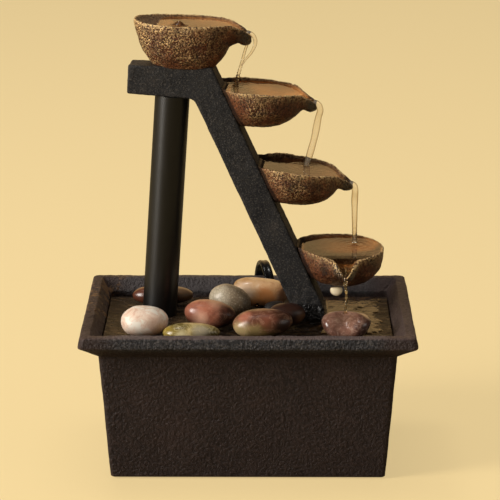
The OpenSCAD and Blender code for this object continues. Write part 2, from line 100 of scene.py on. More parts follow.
def closed_grid(name, rows):
    """A closed surface from rings of equal length, capped at both ends."""
    k, n = len(rows), len(rows[0])
    faces = [(i * n + j, i * n + (j + 1) % n, (i + 1) * n + (j + 1) % n, (i + 1) * n + j)
             for i in range(k - 1) for j in range(n)]
    faces += [tuple(range(n - 1, -1, -1)), tuple((k - 1) * n + j for j in range(n))]
    return mesh_object(name, [point for row in rows for point in row], faces)


def applied(obj):
    """Bakes an object's modifiers into its mesh."""
    graph = bpy.context.evaluated_depsgraph_get()
    graph.update()
    mesh = bpy.data.meshes.new_from_object(obj.evaluated_get(graph))
    obj.modifiers.clear()
    old, obj.data = obj.data, mesh
    bpy.data.meshes.remove(old)
    obj.data.shade_smooth()
    return obj


def cast_from(node, name, voxel):
    """A copy of a CAD node with its edges softened, as a casting's are: an even, dense mesh."""
    bm = bmesh.new()
    bm.from_mesh(bpy.data.objects[node].data)
    bmesh.ops.remove_doubles(bm, verts=bm.verts, dist=2e-6)
    mesh = bpy.data.meshes.new(name)
    bm.to_mesh(mesh)
    bm.free()
    mesh.materials.clear()
    obj = link(name, mesh)
    remesh = obj.modifiers.new("remesh", "REMESH")
    remesh.mode = "VOXEL"
    remesh.voxel_size = voxel * MM
    soft = obj.modifiers.new("soft", "SMOOTH")
    soft.factor, soft.iterations = 0.5, 2
    applied(obj)
    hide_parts(node)
    return obj


def arrays(obj):
    """Points and normals of an object's mesh, in millimetres."""
    mesh = obj.data
    points = np.empty(len(mesh.vertices) * 3)
    mesh.vertices.foreach_get("co", points)
    normals = np.empty(len(mesh.vertices) * 3)
    mesh.vertex_normals.foreach_get("vector", normals)
    return points.reshape(-1, 3) / MM, normals.reshape(-1, 3)


def put_back(obj, points):
    obj.data.vertices.foreach_set("co", (points * MM).ravel())
    obj.data.update()


def swell(obj, points, normals, height):
    """Moves each point of a piece along its normal."""
    put_back(obj, points + normals * height[:, None])


def grain(points, size, seed, stretch=(1, 1, 1)):
    """Smooth noise from -1 to 1 at each point, with bumps about size millimetres across."""
    shift = Vector((seed * 7.3, seed * 3.1 + 5, seed * 1.7 - 9))
    scaled = points / (size * np.array(stretch))
    return np.array([noise.noise(Vector(p) + shift) for p in scaled])


def smoothstep(a, b, x):
    t = np.clip((x - a) / (b - a), 0, 1)
    return t * t * (3 - 2 * t)


def curve(points, n):
    """A smooth curve through points, n steps between each pair, as the CAD routes have it."""
    p = [np.array(q, float) for q in points]
    out = []
    for i in range(len(p) - 1):
        a, b, c, d = p[max(i - 1, 0)], p[i], p[i + 1], p[min(i + 2, len(p) - 1)]
        for k in range(n):
            t = k / n
            out.append(0.5 * (2 * b + (c - a) * t + (2 * a - 5 * b + 4 * c - d) * t * t
                              + (3 * b - a - 3 * c + d) * t ** 3))
    out.append(p[-1])
    return out


def along(line, n):
    """n + 1 evenly spaced points on a polyline."""
    lengths = np.concatenate([[0], np.cumsum([math.dist(a, b) for a, b in zip(line, line[1:])])])
    at = np.linspace(0, lengths[-1], n + 1)
    return np.stack([np.interp(at, lengths, [p[k] for p in line]) for k in range(len(line[0]))], axis=1)


def headings(line):
    out = []
    for i in range(len(line)):
        d = line[min(i + 1, len(line) - 1)] - line[max(i - 1, 0)]
        out.append(d / np.linalg.norm(d))
    return out


def square_to(heading, direction):
    """The part of a direction that is square to a heading, as a unit vector."""
    across = direction - heading * np.dot(direction, heading)
    return across / np.linalg.norm(across)


def sweep(name, line, sections, ups):
    """A tube along line. sections[i] is a list of (across, up) offsets and ups[i] the up direction."""
    rows = []
    for point, heading, section, up in zip(line, headings(line), sections, ups):
        up = square_to(heading, up)
        side = np.cross(heading, up)
        rows.append([point + side * a + up * b for a, b in section])
    return closed_grid(name, rows)


# ---------- materials ----------


WATER_IOR = 1.333


def srgb(code):
    """A colour written as it looks on screen."""
    parts = [int(code[i:i + 2], 16) for i in (1, 3, 5)]
    return tuple(((c / 255 + 0.055) / 1.055) ** 2.4 if c > 10 else c / 255 / 12.92 for c in parts)


class Nodes:
    """A shader's nodes. Inputs take a number, a colour, or the socket of another node."""

    def __init__(self, tree, out):
        self.tree = tree
        tree.nodes.clear()
        self.out = self.node(out)

    def set(self, socket, value):
        if isinstance(value, str):
            value = srgb(value)
        if isinstance(value, bpy.types.NodeSocket):
            self.tree.links.new(value, socket)
        elif isinstance(value, tuple) and socket.type == "RGBA":
            socket.default_value = (*value, 1)
        else:
            socket.default_value = value

    def set_all(self, n, *values):
        for socket, value in zip(n.inputs, values):
            self.set(socket, value)

    def node(self, kind, props=None, **inputs):
        n = self.tree.nodes.new("ShaderNode" + kind)
        for key, value in (props or {}).items():
            setattr(n, key, value)
        for key, value in inputs.items():
            self.set(n.inputs[key.replace("_", " ")], value)
        return n

    def blend(self, share, first, second):
        """One shader, and a share of another."""
        n = self.node("MixShader")
        self.set_all(n, share, first, second)
        return n.outputs["Shader"]

    def show(self, shader):
        self.set(self.out.inputs["Surface"], shader)


class Paint(Nodes):
    """A procedural material, in millimetres."""

    def __init__(self, name):
        self.mat = bpy.data.materials.new(name)
        self.mat.use_nodes = True
        super().__init__(self.mat.node_tree, "OutputMaterial")
        self.mm = self.node("TexCoord").outputs["Object"]
        self.mm = self.mapped((1000, 1000, 1000))

    def mapped(self, scale=(1, 1, 1), turn=0, shift=(0, 0, 0)):
        n = self.node("Mapping", Vector=self.mm, Scale=scale, Location=shift)
        n.inputs["Rotation"].default_value = (0, 0, math.radians(turn))
        return n.outputs["Vector"]

    def noise(self, size, detail=3, rough=0.5, vector=None, distort=0.0):
        """Noise with features about size millimetres across."""
        n = self.node("TexNoise", Vector=vector or self.mm, Scale=1 / size, Detail=detail,
                      Roughness=rough, Distortion=distort)
        return n.outputs["Fac"]

    def cell_edges(self, size, vector):
        """How far a point is from the edges between cells about size millimetres across."""
        n = self.node("TexVoronoi", {"feature": "DISTANCE_TO_EDGE"}, Vector=vector, Scale=1 / size)
        return n.outputs["Distance"]

    def ramp(self, fac, *stops):
        n = self.node("ValToRGB", Fac=fac)
        n.color_ramp.interpolation = "EASE"
        marks = n.color_ramp.elements
        while len(marks) < len(stops):
            marks.new(0.5)
        for mark, (place, value) in zip(marks, stops):
            mark.position = place
            mark.color = (*srgb(value), 1) if isinstance(value, str) else (value, value, value, 1)
        return n.outputs["Color"]

    def rise(self, fac, low, high):
        """0 up to low and 1 from high."""
        return self.ramp(fac, (low, 0.0), (high, 1.0))

    def fall(self, fac, low, high):
        """1 up to low and 0 from high."""
        return self.ramp(fac, (low, 1.0), (high, 0.0))

    def math(self, op, a, b=0.0, c=0.0):
        n = self.node("Math", {"operation": op})
        self.set_all(n, a, b, c)
        return n.outputs["Value"]

    def add(self, a, b):
        return self.math("ADD", a, b)

    def times(self, a, b):
        return self.math("MULTIPLY", a, b)

    def scaled(self, a, factor, plus):
        return self.math("MULTIPLY_ADD", a, factor, plus)

    def mix(self, fac, a, b):
        n = self.node("Mix", {"data_type": "RGBA"})
        for k, value in ((0, fac), (6, a), (7, b)):
            self.set(n.inputs[k], value)
        return n.outputs[2]

    def over(self, base, mask, strength, colour):
        """A colour over base where mask is, at a share of its full strength."""
        return self.mix(self.times(mask, strength), base, colour)

    def axis(self, name, vector=None):
        return self.node("SeparateXYZ", Vector=vector or self.mm).outputs[name]

    def share(self, name, span, start=0.5):
        """How far along an axis a point is, as a share of span. The axis begins at start."""
        return self.scaled(self.axis(name), 1 / span, start)

    def attribute(self, name):
        return self.node("Attribute", {"attribute_name": name}).outputs["Fac"]

    def geometry(self, output):
        return self.node("NewGeometry").outputs[output]

    def edges(self, low, high):
        """1 on convex edges, 0 on flats and in hollows."""
        return self.rise(self.geometry("Pointiness"), low, high)

    def bump(self, height, depth, distance, normal=None):
        n = self.node("Bump", Height=height, Strength=depth, Distance=distance * MM)
        if normal is not None:
            self.set(n.inputs["Normal"], normal)
        return n.outputs["Normal"]

    def surface(self, **inputs):
        self.show(self.node("BsdfPrincipled", **inputs).outputs["BSDF"])
        return self.mat

    def water(self, colour, normal=None, clear=1.0):
        """Water that lets the lamps' light through, clear or a little milky with air."""
        wet = self.node("BsdfPrincipled", Base_Color=colour, Roughness=0.0, IOR=WATER_IOR,
                        Transmission_Weight=clear)
        if normal is not None:
            self.set(wet.inputs["Normal"], normal)
        in_shadow = self.node("LightPath").outputs["Is Shadow Ray"]
        open_air = self.node("BsdfTransparent")
        self.show(self.blend(in_shadow, wet.outputs["BSDF"], open_air.outputs["BSDF"]))
        return self.mat


def coat(obj, mat):
    """Gives a piece one material."""
    obj.data.materials.clear()
    obj.data.materials.append(mat)
    for polygon in obj.data.polygons:
        polygon.material_index = 0


def dress(obj, mat, body):
    """Gives a new piece its material and the body it rides on."""
    coat(obj, mat)
    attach(obj, body)


BASIN, DECK = "basin_body", "deck_body"

# ---------- power cord ----------

route = [
    (11.45, 13.094, 25), (19, 13.2, 25), (27, 16, 26), (32, 22, 29), (33, 30, 35), (30, 37, 43),
    (25, 41, 53), (19, 42.8, 64), (15.6, 43, 75), (14.6, 43, 86), (14.3, 43.4, 95),
    (13.5, 46.5, 102), (12, 52.5, 107), (10.3, 60.5, 109), (8.8, 68.5, 107.4), (7.6, 75, 102.6),
    (6.8, 78.6, 95.6), (6.3, 79.7, 86), (6, 79.7, 72), (6, 79.5, 56), (5.8, 79.5, 40),
    (5, 80.4, 26), (3.6, 83.8, 14.5), (2.2, 90, 6.6), (1.4, 98, 3.4), (2, 106, 2.8), (4.2, 113, 3.4),
]
tail = [
    (-30, 155.8, 9.6), (-38, 156.4, 8.6), (-47, 156.5, 7), (-56, 155.4, 5.8), (-64, 151.4, 5.5),
    (-69.4, 144.6, 5.5), (-71.5, 136, 5.5),
]
COIL_AT, COIL_OUT, COIL_IN, TURNS = (-26, 124), 32.0, 18.0, 9
LAYER_LOW, LAYER_HIGH = 3.85, 10.3
LEAD_W, LEAD_T = 6.4, 3.2
# how many points the lead takes to twist flat after the pump, and upright again before the coil
PUMP_TWIST, COIL_TWIST = 14, 14


def coil_points():
    """Nine turns on edge in two layers: inwards on the bottom layer, outwards on the top one."""
    first, last = math.radians(-18), math.radians(360 * TURNS + 88)
    steps = TURNS * 20
    points = []
    for k in range(steps + 1):
        t = k / steps
        turn = first + (last - first) * t
        inward = 1 - abs(2 * t - 1)
        r = COIL_OUT - (COIL_OUT - COIL_IN) * inward
        z = LAYER_LOW + (LAYER_HIGH - LAYER_LOW) * float(smoothstep(0.47, 0.53, t))
        if k < 4:
            # it comes in along the ground
            z = 3.4 + 0.45 * k / 4
        points.append((COIL_AT[0] + r * math.cos(turn), COIL_AT[1] + r * math.sin(turn), z))
    return points


def make_cord():
    """The lead, with its middle line in millimetres."""
    climb = curve(route, 4)[:-1]
    line = [np.array(p) for p in climb + curve(coil_points(), 2)[1:-1] + curve(tail, 4)]
    turn_from = len(climb) - 5
    turn_to = turn_from + COIL_TWIST
    flat, upright = np.array([1.0, 0.0, 0.0]), np.array([0.0, 0.0, 1.0])
    ups = []
    for i, heading in enumerate(headings(line)):
        # the lead's width is upright at the pump, lies along x over the rim, and is upright in the coil
        across_x = square_to(heading, flat)
        if i < PUMP_TWIST:
            w = float(smoothstep(2, PUMP_TWIST, i))
            across = upright * (1 - w) + across_x * w
        elif i <= turn_to:
            w = float(smoothstep(turn_from, turn_to, i))
            across = across_x * (1 - w) + upright * w
        else:
            across = upright
        ups.append(square_to(heading, across))
    # two round cores side by side with a web between them
    core = LEAD_T / 2
    section = []
    for side, start in ((1, 0), (-1, math.pi)):
        for k in range(9):
            a = math.radians(-122 + 244 * k / 8) + start
            section.append((core * math.sin(a), core * math.cos(a) + side * (LEAD_W / 2 - core)))
    obj = sweep("power_lead", line, [section] * len(line), ups)
    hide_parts("power_cord", "power_cord_coil", "power_cord_tail")
    return obj, line


lead, lead_line = make_cord()

# ---------- places, from the CAD source ----------

FRAME_Y, FRAME_TURN = 9.0, math.radians(-4)
DECK_TOP = 89.0
# the leg's right edge at its foot and at its head, in the frame's plane
LEG_EDGE = ((45.5, 105.5), (-10.8, 228))


def in_frame(points):
    """From the frame's own plane to the object's coordinates, in millimetres."""
    p = np.asarray(points, float)
    c, s = math.cos(FRAME_TURN), math.sin(FRAME_TURN)
    return np.stack([p[:, 0] * c - p[:, 1] * s, p[:, 0] * s + p[:, 1] * c + FRAME_Y, p[:, 2]], axis=1)


def edge_x(z):
    """The leg's right edge in the frame's plane."""
    (x0, z0), (x1, z1) = LEG_EDGE
    return x0 + (x1 - x0) * (z - z0) / (z1 - z0)


def turned(points, axis, degrees):
    a = math.radians(degrees)
    c, s = math.cos(a), math.sin(a)
    x, y, z = points[:, 0], points[:, 1], points[:, 2]
    if axis == "y":
        return np.stack([x * c + z * s, y, -x * s + z * c], axis=1)
    return np.stack([x * c - y * s, x * s + y * c, z], axis=1)


# ---------- basin ----------


def filleted(profile, rounds, steps=3):
    """A profile line with its corners rounded, by one radius for each corner."""
    out = [profile[0]]
    for i, r in enumerate(rounds, 1):
        p, a, b = (np.array(profile[k], float) for k in (i, i - 1, i + 1))
        to_a, to_b = np.linalg.norm(a - p), np.linalg.norm(b - p)
        u, v = (a - p) / to_a, (b - p) / to_b
        half = math.acos(max(-1, min(1, float(u @ v)))) / 2
        cut = min(r / math.tan(half), 0.45 * to_a, 0.45 * to_b)
        for k in range(steps + 1):
            t = k / steps
            out.append(tuple((1 - t) ** 2 * (p + u * cut) + 2 * t * (1 - t) * p + t * t * (p + v * cut)))
    out.append(profile[-1])
    return out


def resampled(profile, step):
    out = [profile[0]]
    for a, b in zip(profile, profile[1:]):
        n = max(1, int(round(math.dist(a, b) / step)))
        out += [tuple(a[k] + (b[k] - a[k]) * j / n for k in range(len(a))) for j in range(1, n + 1)]
    return out


FRONT_POINTS, SIDE_POINTS, CORNER_POINTS = 100, 70, 5


def rect_ring(hx, hy, r):
    """A rounded rectangle from the front right, with as many points at any size."""
    pts = []
    corners = [(1, -1, -90), (1, 1, 0), (-1, 1, 90), (-1, -1, 180)]
    counts = [SIDE_POINTS, FRONT_POINTS] * 2
    for (sx, sy, a0), (ex, ey, _), n in zip(corners, corners[1:] + corners[:1], counts):
        cx, cy = sx * (hx - r), sy * (hy - r)
        for k in range(CORNER_POINTS):
            a = math.radians(a0 + 90 * k / CORNER_POINTS)
            pts.append((cx + r * math.cos(a), cy + r * math.sin(a)))
        a = math.radians(a0 + 90)
        start = (cx + r * math.cos(a), cy + r * math.sin(a))
        end = (ex * (hx - r) + r * math.cos(a), ey * (hy - r) + r * math.sin(a))
        pts += [(start[0] + (end[0] - start[0]) * k / n, start[1] + (end[1] - start[1]) * k / n)
                for k in range(n)]
    return pts


# half the width, height and corner radius, up the outside, over the rim and down the inside
BASIN_SIDE = [
    (60, 1.0, 0.5), (86.6, 1.0, 2.4), (92.8, 82.6, 3.0), (105, 91, 3.4), (103.6, 98, 3.6),
    (97.5, 98, 1.8), (91.5, 90, 1.2), (91.5, 85, 1.2), (87.8, 85, 1.2), (81.6, 6, 1.2),
    (60, 6, 0.5),
]
BASIN_ROUNDS = [1.6, 1.2, 1.4, 1.5, 1.2, 1.2, 0.5, 0.8, 1.5]
# how much less the basin measures from its middle to the front than to a side
BASIN_NARROWER = 32
RIM_TOP, RIM_LOW = 98, 91


def make_basin():
    line = resampled(filleted(BASIN_SIDE, BASIN_ROUNDS), 1.7)
    rings = [[(x, y, z) for x, y in rect_ring(m, m - BASIN_NARROWER, r)] for m, z, r in line]
    obj = closed_grid("basin_shell", rings)
    points, normals = arrays(obj)
    height = points[:, 2]
    up = smoothstep(80, 92, height)
    lump = 0.28 * grain(points, 16, 1) + (0.10 + 0.10 * up) * grain(points, 3.2, 2)
    lump += 0.07 * grain(points, 1.5, 3)
    # dents and chips along the rim's outer edges
    edge = sum(up * np.exp(-((height - z) / 1.6) ** 2) for z in (RIM_TOP, RIM_LOW))
    lump -= 0.55 * edge * smoothstep(0.25, 0.6, grain(points, 7, 4))
    swell(obj, points, normals, lump * smoothstep(1.0, 3.0, height))
    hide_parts("basin")
    return obj


def basin_paint():
    p = Paint("basin_resin")
    base = p.ramp(p.noise(34, 4, 0.55), (0.25, "#251c1a"), (0.55, "#2b211e"), (0.8, "#342723"))
    leather = p.noise(1.9, 3, 0.62)
    speck = p.rise(leather, 0.42, 0.66)
    base = p.over(base, speck, 0.55, "#42342f")
    # the rim's front is greyer and coarser
    high = p.share("Z", 100, 0.0)
    rim = p.rise(high, 0.86, 0.91)
    arms = p.rise(high, 0.84, 0.88)
    base = p.over(base, rim, 0.85, "#323234")
    grains = p.noise(1.3, 3, 0.6)
    rim = p.times(rim, p.ramp(p.share("Y", 140), (0.04, 1.0), (0.12, 0.35)))
    base = p.over(base, p.fall(grains, 0.38, 0.48), p.times(rim, 0.7), "#181616")
    base = p.over(base, p.rise(grains, 0.52, 0.62), p.times(rim, 0.35), "#766e68")
    upward = p.times(p.rise(p.axis("Z", p.geometry("Normal")), 0.3, 0.75), p.times(rim, 0.6))
    base = p.mix(upward, base, "#685854")
    left = p.times(p.rise(p.share("X", -210), 0.86, 0.95), arms)
    base = p.over(base, left, 0.6, p.mix(p.noise(5, 4, 0.6), "#2a1c17", "#422d22"))
    back = p.rise(p.share("Y", 140), 0.3, 0.55)
    patches = p.times(p.times(p.rise(p.noise(7, 4, 0.65), 0.5, 0.6), left), back)
    base = p.over(base, patches, 0.8, "#76583a")
    right = p.times(p.rise(p.share("X", 210), 0.86, 0.93), arms)
    base = p.over(base, right, 0.6, p.mix(p.noise(5, 4, 0.6), "#30221f", "#4a362f"))
    worn = p.times(p.edges(0.515, 0.57), p.ramp(p.noise(6, 4, 0.6), (0.3, 0.25), (0.6, 1.0)))
    base = p.over(base, worn, 0.7, "#604a40")
    bump = p.bump(leather, 1.0, 1.5)
    bump = p.bump(p.noise(0.9, 3, 0.6), 0.7, 0.4, bump)
    rough = p.ramp(p.noise(2.0, 3), (0.3, 0.42), (0.7, 0.6))
    return p.surface(Base_Color=base, Roughness=rough, Normal=bump, Specular_IOR_Level=0.22)


dress(make_basin(), basin_paint(), BASIN)

# ---------- deck, frame and column ----------


def make_deck():
    obj = cast_from("deck", "deck_cast", 1.0)
    points, normals = arrays(obj)
    top = smoothstep(87.5, 88.8, points[:, 2])
    ripple = 0.42 * grain(points, 5.5, 5, (2.2, 1, 1)) + 0.22 * grain(points, 2.4, 6, (1.6, 1, 1))
    swell(obj, points, normals, top * (ripple - 0.15) + (1 - top) * 0.05 * ripple)
    return obj


def deck_paint():
    p = Paint("deck_resin")
    base = p.ramp(p.noise(14, 4, 0.6), (0.3, "#18130f"), (0.55, "#241c15"), (0.8, "#36291e"))
    ribs = p.rise(p.noise(2.3, 3, 0.6, p.mapped((0.35, 1, 1), 24)), 0.46, 0.62)
    base = p.over(base, ribs, 0.75, "#58442e")
    base = p.over(base, p.edges(0.51, 0.56), 0.5, "#584634")
    bump = p.bump(p.noise(1.3, 4, 0.65), 0.6, 0.5)
    bump = p.bump(ribs, 1.0, 0.7, bump)
    rough = p.ramp(p.noise(9, 3), (0.35, 0.25), (0.65, 0.45))
    return p.surface(Base_Color=base, Roughness=rough, Normal=bump, Specular_IOR_Level=0.14)


def make_frame():
    obj = cast_from("frame", "frame_cast", 0.8)
    points, normals = arrays(obj)
    foot = 1 - smoothstep(92, 118, points[:, 2])
    swell(obj, points, normals, 0.22 * grain(points, 11, 7) + 0.12 * grain(points, 2.6, 8))
    points, normals = arrays(obj)
    swell(obj, points, normals, foot * (0.5 * grain(points, 3.4, 9) + 0.35 * grain(points, 2.0, 10)))
    return obj


def frame_paint():
    p = Paint("frame_resin")
    base = p.ramp(p.noise(12, 4, 0.65), (0.3, "#1e1e20"), (0.55, "#2b2a2a"), (0.8, "#3e3935"))
    fine = p.noise(0.95, 3, 0.75)
    fleck = p.rise(fine, 0.5, 0.68)
    base = p.over(base, fleck, 0.52, "#6c655d")
    worn = p.times(p.edges(0.53, 0.6), p.ramp(p.noise(5, 4, 0.6), (0.35, 0.2), (0.6, 1.0)))
    base = p.over(base, worn, 0.6, "#544a40")
    foot = p.ramp(p.share("Z", 100, 0.0), (0.95, 1.0), (1.08, 0.7), (1.3, 0.0))
    base = p.over(base, foot, 0.85, "#110f0f")
    bump = p.bump(fine, 0.7, 0.6)
    bump = p.bump(p.noise(3.2, 3, 0.6), 0.4, 0.9, bump)
    bump = p.bump(p.noise(2.3, 1, 0.5), foot, 4.0, bump)
    bump = p.bump(p.noise(1.2, 1, 0.5), foot, 2.0, bump)
    rough = p.scaled(foot, -0.2, 0.52)
    return p.surface(Base_Color=base, Roughness=rough, Normal=bump, Specular_IOR_Level=0.14,
                     Coat_Weight=foot, Coat_Roughness=0.07, Coat_Normal=bump)


def column_paint():
    p = Paint("column_plastic")
    base = p.ramp(p.noise(22, 3, 0.5, p.mapped((1, 1, 0.25))), (0.3, "#070605"), (0.7, "#0e0b09"))
    streak = p.rise(p.noise(2.2, 4, 0.6, p.mapped((1, 1, 0.06))), 0.45, 0.75)
    base = p.over(base, streak, 0.2, "#1e1915")
    dust = p.rise(p.noise(0.7, 2, 0.5), 0.7, 0.78)
    base = p.over(base, dust, 0.2, "#463f38")
    bump = p.bump(p.noise(1.0, 3, 0.6), 0.15, 0.2)
    rough = p.scaled(streak, 0.05, 0.36)
    return p.surface(Base_Color=base, Roughness=rough, Normal=bump, Specular_IOR_Level=0.58)


dress(make_deck(), deck_paint(), DECK)
dress(make_frame(), frame_paint(), DECK)
coat(bpy.data.objects["riser_column"], column_paint())

# ---------- bowls ----------

# middle of the rim plane and how far behind the frame's plane it is, fall, turn, roll, width,
# depth, extra length, share of the width kept from front to back, droop of the far end, water
# level, depth of the nose
Bowl = namedtuple("Bowl", "at back fall turn roll width depth stretch squeeze droop level nose")
BOWLS = {
    "top_bowl": Bowl((-40, 279.9), 0, 0.9, 0, 0, 47, 28.3, 14, 0.9, -0.0014, 279.4, 1.0),
    "second_bowl": Bowl((2, 239.0), 0, 4.5, 0, 0, 53, 24, 14, 1, 0.0035, 237.8, 0.9),
    "third_bowl": Bowl((26, 189.4), 0, 8.5, 0, 0, 53, 24, 14, 1, 0.0075, 187.0, 0.78),
    "bottom_bowl": Bowl((60, 135.4), 2.5, 0.6, -83.5, 2.4, 53, 24, 4, 1, 0, 136.0, 1.0),
}
PLAIN_STRETCH, WALL = 14.0, 3.0
ANGLES = 300
BEHIND_LEG, LEG_MEET, LEG_CURVE = 11.5, -8.0, 17.0
BEHIND_STRETCH = 1.14
# the nose of the spout and the floor of its channel, at the middle, seen from the side
SPOUT_OUT = [(42.2, -10.9), (42.0, -12.0), (41.0, -13.1), (39.2, -13.8), (37.2, -13.4), (35.0, -12.4),
             (33.0, -12.8), (30.4, -15.2)]
SPOUT_IN = [(41.3, -10.6), (39.4, -9.0), (36.0, -6.6), (33.0, -5.0), (30.0, -4.4)]
# how far the spout's lips have come down, along the spout
LIP_AT = [24, 29, 32, 34.5, 37, 39.5, 41.5, 44]
LIP_DROP = [0, 0.5, 1.5, 2.9, 4.2, 5.1, 5.7, 6.6]


# radius less the rim's, and height, down a bowl's side to its base
SIDE = {
    "top_bowl": [(1.6, 0), (1.4, -3), (-0.2, -9), (-2.3, -15), (-5.2, -21), (-8.6, -25.5), (-11.4, -28.6)],
    "side_bowl": [(0, 0), (-0.3, -5), (-1.8, -12.3), (-4.6, -16), (-7.7, -18.9), (-13.3, -22), (-19.2, -24)],
}


def body_profile(r, depth, n, n_base, side):
    """Points (radius, height) from the rim to the middle of the base."""
    full = side[-1][1]
    arc = along(curve([(r + d, z * depth / -full) for d, z in side], 8), n)
    b = arc[-1][0]
    return np.array([*arc, *[(b * (1 - k / n_base) + 0.02, -depth) for k in range(1, n_base + 1)]])


def plan_angles():
    u = np.linspace(-1, 1, ANGLES, endpoint=False)
    return math.pi * (0.6 * u + 0.4 * u ** 3)


def lip_drop(spec, x):
    return np.interp(x - (spec.stretch - PLAIN_STRETCH) / 2, LIP_AT, LIP_DROP)


def droop(spec, x):
    """How far the rim's far end hangs down, or up, no further than where the leg cuts a side bowl."""
    return spec.droop * np.clip(x, -30 if spec.droop < 0 else -19, 0) ** 2


def bowl_grid(node, inner, wall=WALL):
    """An (angles, rings, 3) grid of one side of a bowl, in the bowl's own coordinates."""
    spec = BOWLS[node]
    longer = (spec.stretch - PLAIN_STRETCH) / 2
    r = spec.width / 2 - (wall if inner else 0)
    profile = body_profile(r, spec.depth - (wall if inner else 0), 38 if inner else 46, 4 if inner else 6,
                           SIDE["top_bowl" if node == "top_bowl" else "side_bowl"])
    a = plan_angles()
    ca, sa = np.cos(a), np.sin(a)
    power = 2 / 2.25
    plan_x = np.sign(ca) * np.abs(ca) ** power
    plan_y = np.sign(sa) * np.abs(sa) ** power
    reach, height = profile[:, 0], profile[:, 1]
    if inner:
        # the wall thins towards the rim
        reach = reach + 1.5 * np.exp(height / 2.5)
    grid = np.empty((len(a), len(profile), 3))
    grid[:, :, 0] = plan_x[:, None] * (reach + spec.stretch / 2)[None, :]
    grid[:, :, 1] = plan_y[:, None] * reach[None, :]
    grid[:, :, 2] = height[None, :]
    if inner and node == "top_bowl":
        # the lining slopes in gently from the far end
        slope = 34.0 * (1 - np.exp(height / 2.2)) * np.exp(height / 16)
        grid[:, :, 0] += np.where(ca < 0, ca * ca, 0)[:, None] * slope[None, :]
    # the spout draws the wall out round the +x axis
    spout = SPOUT_IN if inner else SPOUT_OUT
    count = int(np.argmax(height < spout[-1][1]))
    end = (reach[count] + spec.stretch / 2, height[count])
    target = along(curve([*[(x + longer, z * spec.nose) for x, z in spout[:-1]], end], 6), count)
    shift = np.zeros((len(profile), 2))
    shift[:count + 1, 0] = target[:, 0] - (reach[:count + 1] + spec.stretch / 2)
    shift[:count + 1, 1] = target[:, 1] - height[:count + 1]
    y_rim = plan_y * spec.width / 2
    front = (ca > 0) * 1.0
    wide, narrow = (5.4, 3.0) if inner else (7.4, 3.2)
    gx = front * np.exp(-np.abs(y_rim / wide) ** 3.4)
    gz = front * np.exp(-np.abs(y_rim / narrow) ** 2.2)
    low = np.zeros(len(profile)) if inner else smoothstep(0, 7, np.arange(len(profile)))
    gz = gz[:, None] * (1 - low) + gx[:, None] * low
    grid[:, :, 0] += gx[:, None] * shift[None, :, 0]
    # the lips beside the channel come down with it
    lip = lip_drop(spec, grid[:, :, 0]) * np.exp(-np.arange(len(profile)) / 9.0)[None, :] * front[:, None]
    grid[:, :, 2] += gz * shift[None, :, 1] - (1 - gz) * lip
    grid[:, :, 1] *= spec.squeeze
    grid[:, :, 2] -= droop(spec, grid[:, :, 0])
    return grid


def place(points, spec):
    """From a bowl's coordinates to the frame's plane."""
    q = turned(turned(turned(points, "y", spec.fall), "z", spec.turn), "y", spec.roll)
    if spec.turn:
        # the bottom bowl runs on behind the leg
        q[:, 0] *= np.where(q[:, 0] < 0, BEHIND_STRETCH, 1.0)
    return q + np.array([spec.at[0], spec.back, spec.at[1]])


def clear_of_leg(points, spec, past):
    """Draws points that lie in the leg out of it, along the bowl's rim plane."""
    way = place(np.array([[0.0, 0, 0], [1, 0, 0] if spec.turn == 0 else [0, 1, 0]]), spec)
    way = way[1] - way[0]
    slope = (edge_x(1) - edge_x(0))
    # behind the leg's back face a bowl reaches a little further round
    past = past - 7.0 * smoothstep(BEHIND_LEG, BEHIND_LEG + 2.5, points[:, 1])
    need = (edge_x(0) + slope * points[:, 2] + past - points[:, 0]) / (way[0] - slope * way[2])
    moved = points + np.maximum(need, 0)[:, None] * way[None, :]
    # in front of the leg it curves back to meet the leg's side
    near = np.clip(1 - (moved[:, 0] - edge_x(moved[:, 2])) / LEG_CURVE, 0, 0.999)
    y = moved[:, 1]
    moved[:, 1] = np.where(y < LEG_MEET, LEG_MEET + (y - LEG_MEET) * np.sqrt(1 - near * near), y)
    return moved


def add_attribute(obj, name, values):
    layer = obj.data.attributes.new(name, "FLOAT", "POINT")
    layer.data.foreach_set("value", np.asarray(values, float))


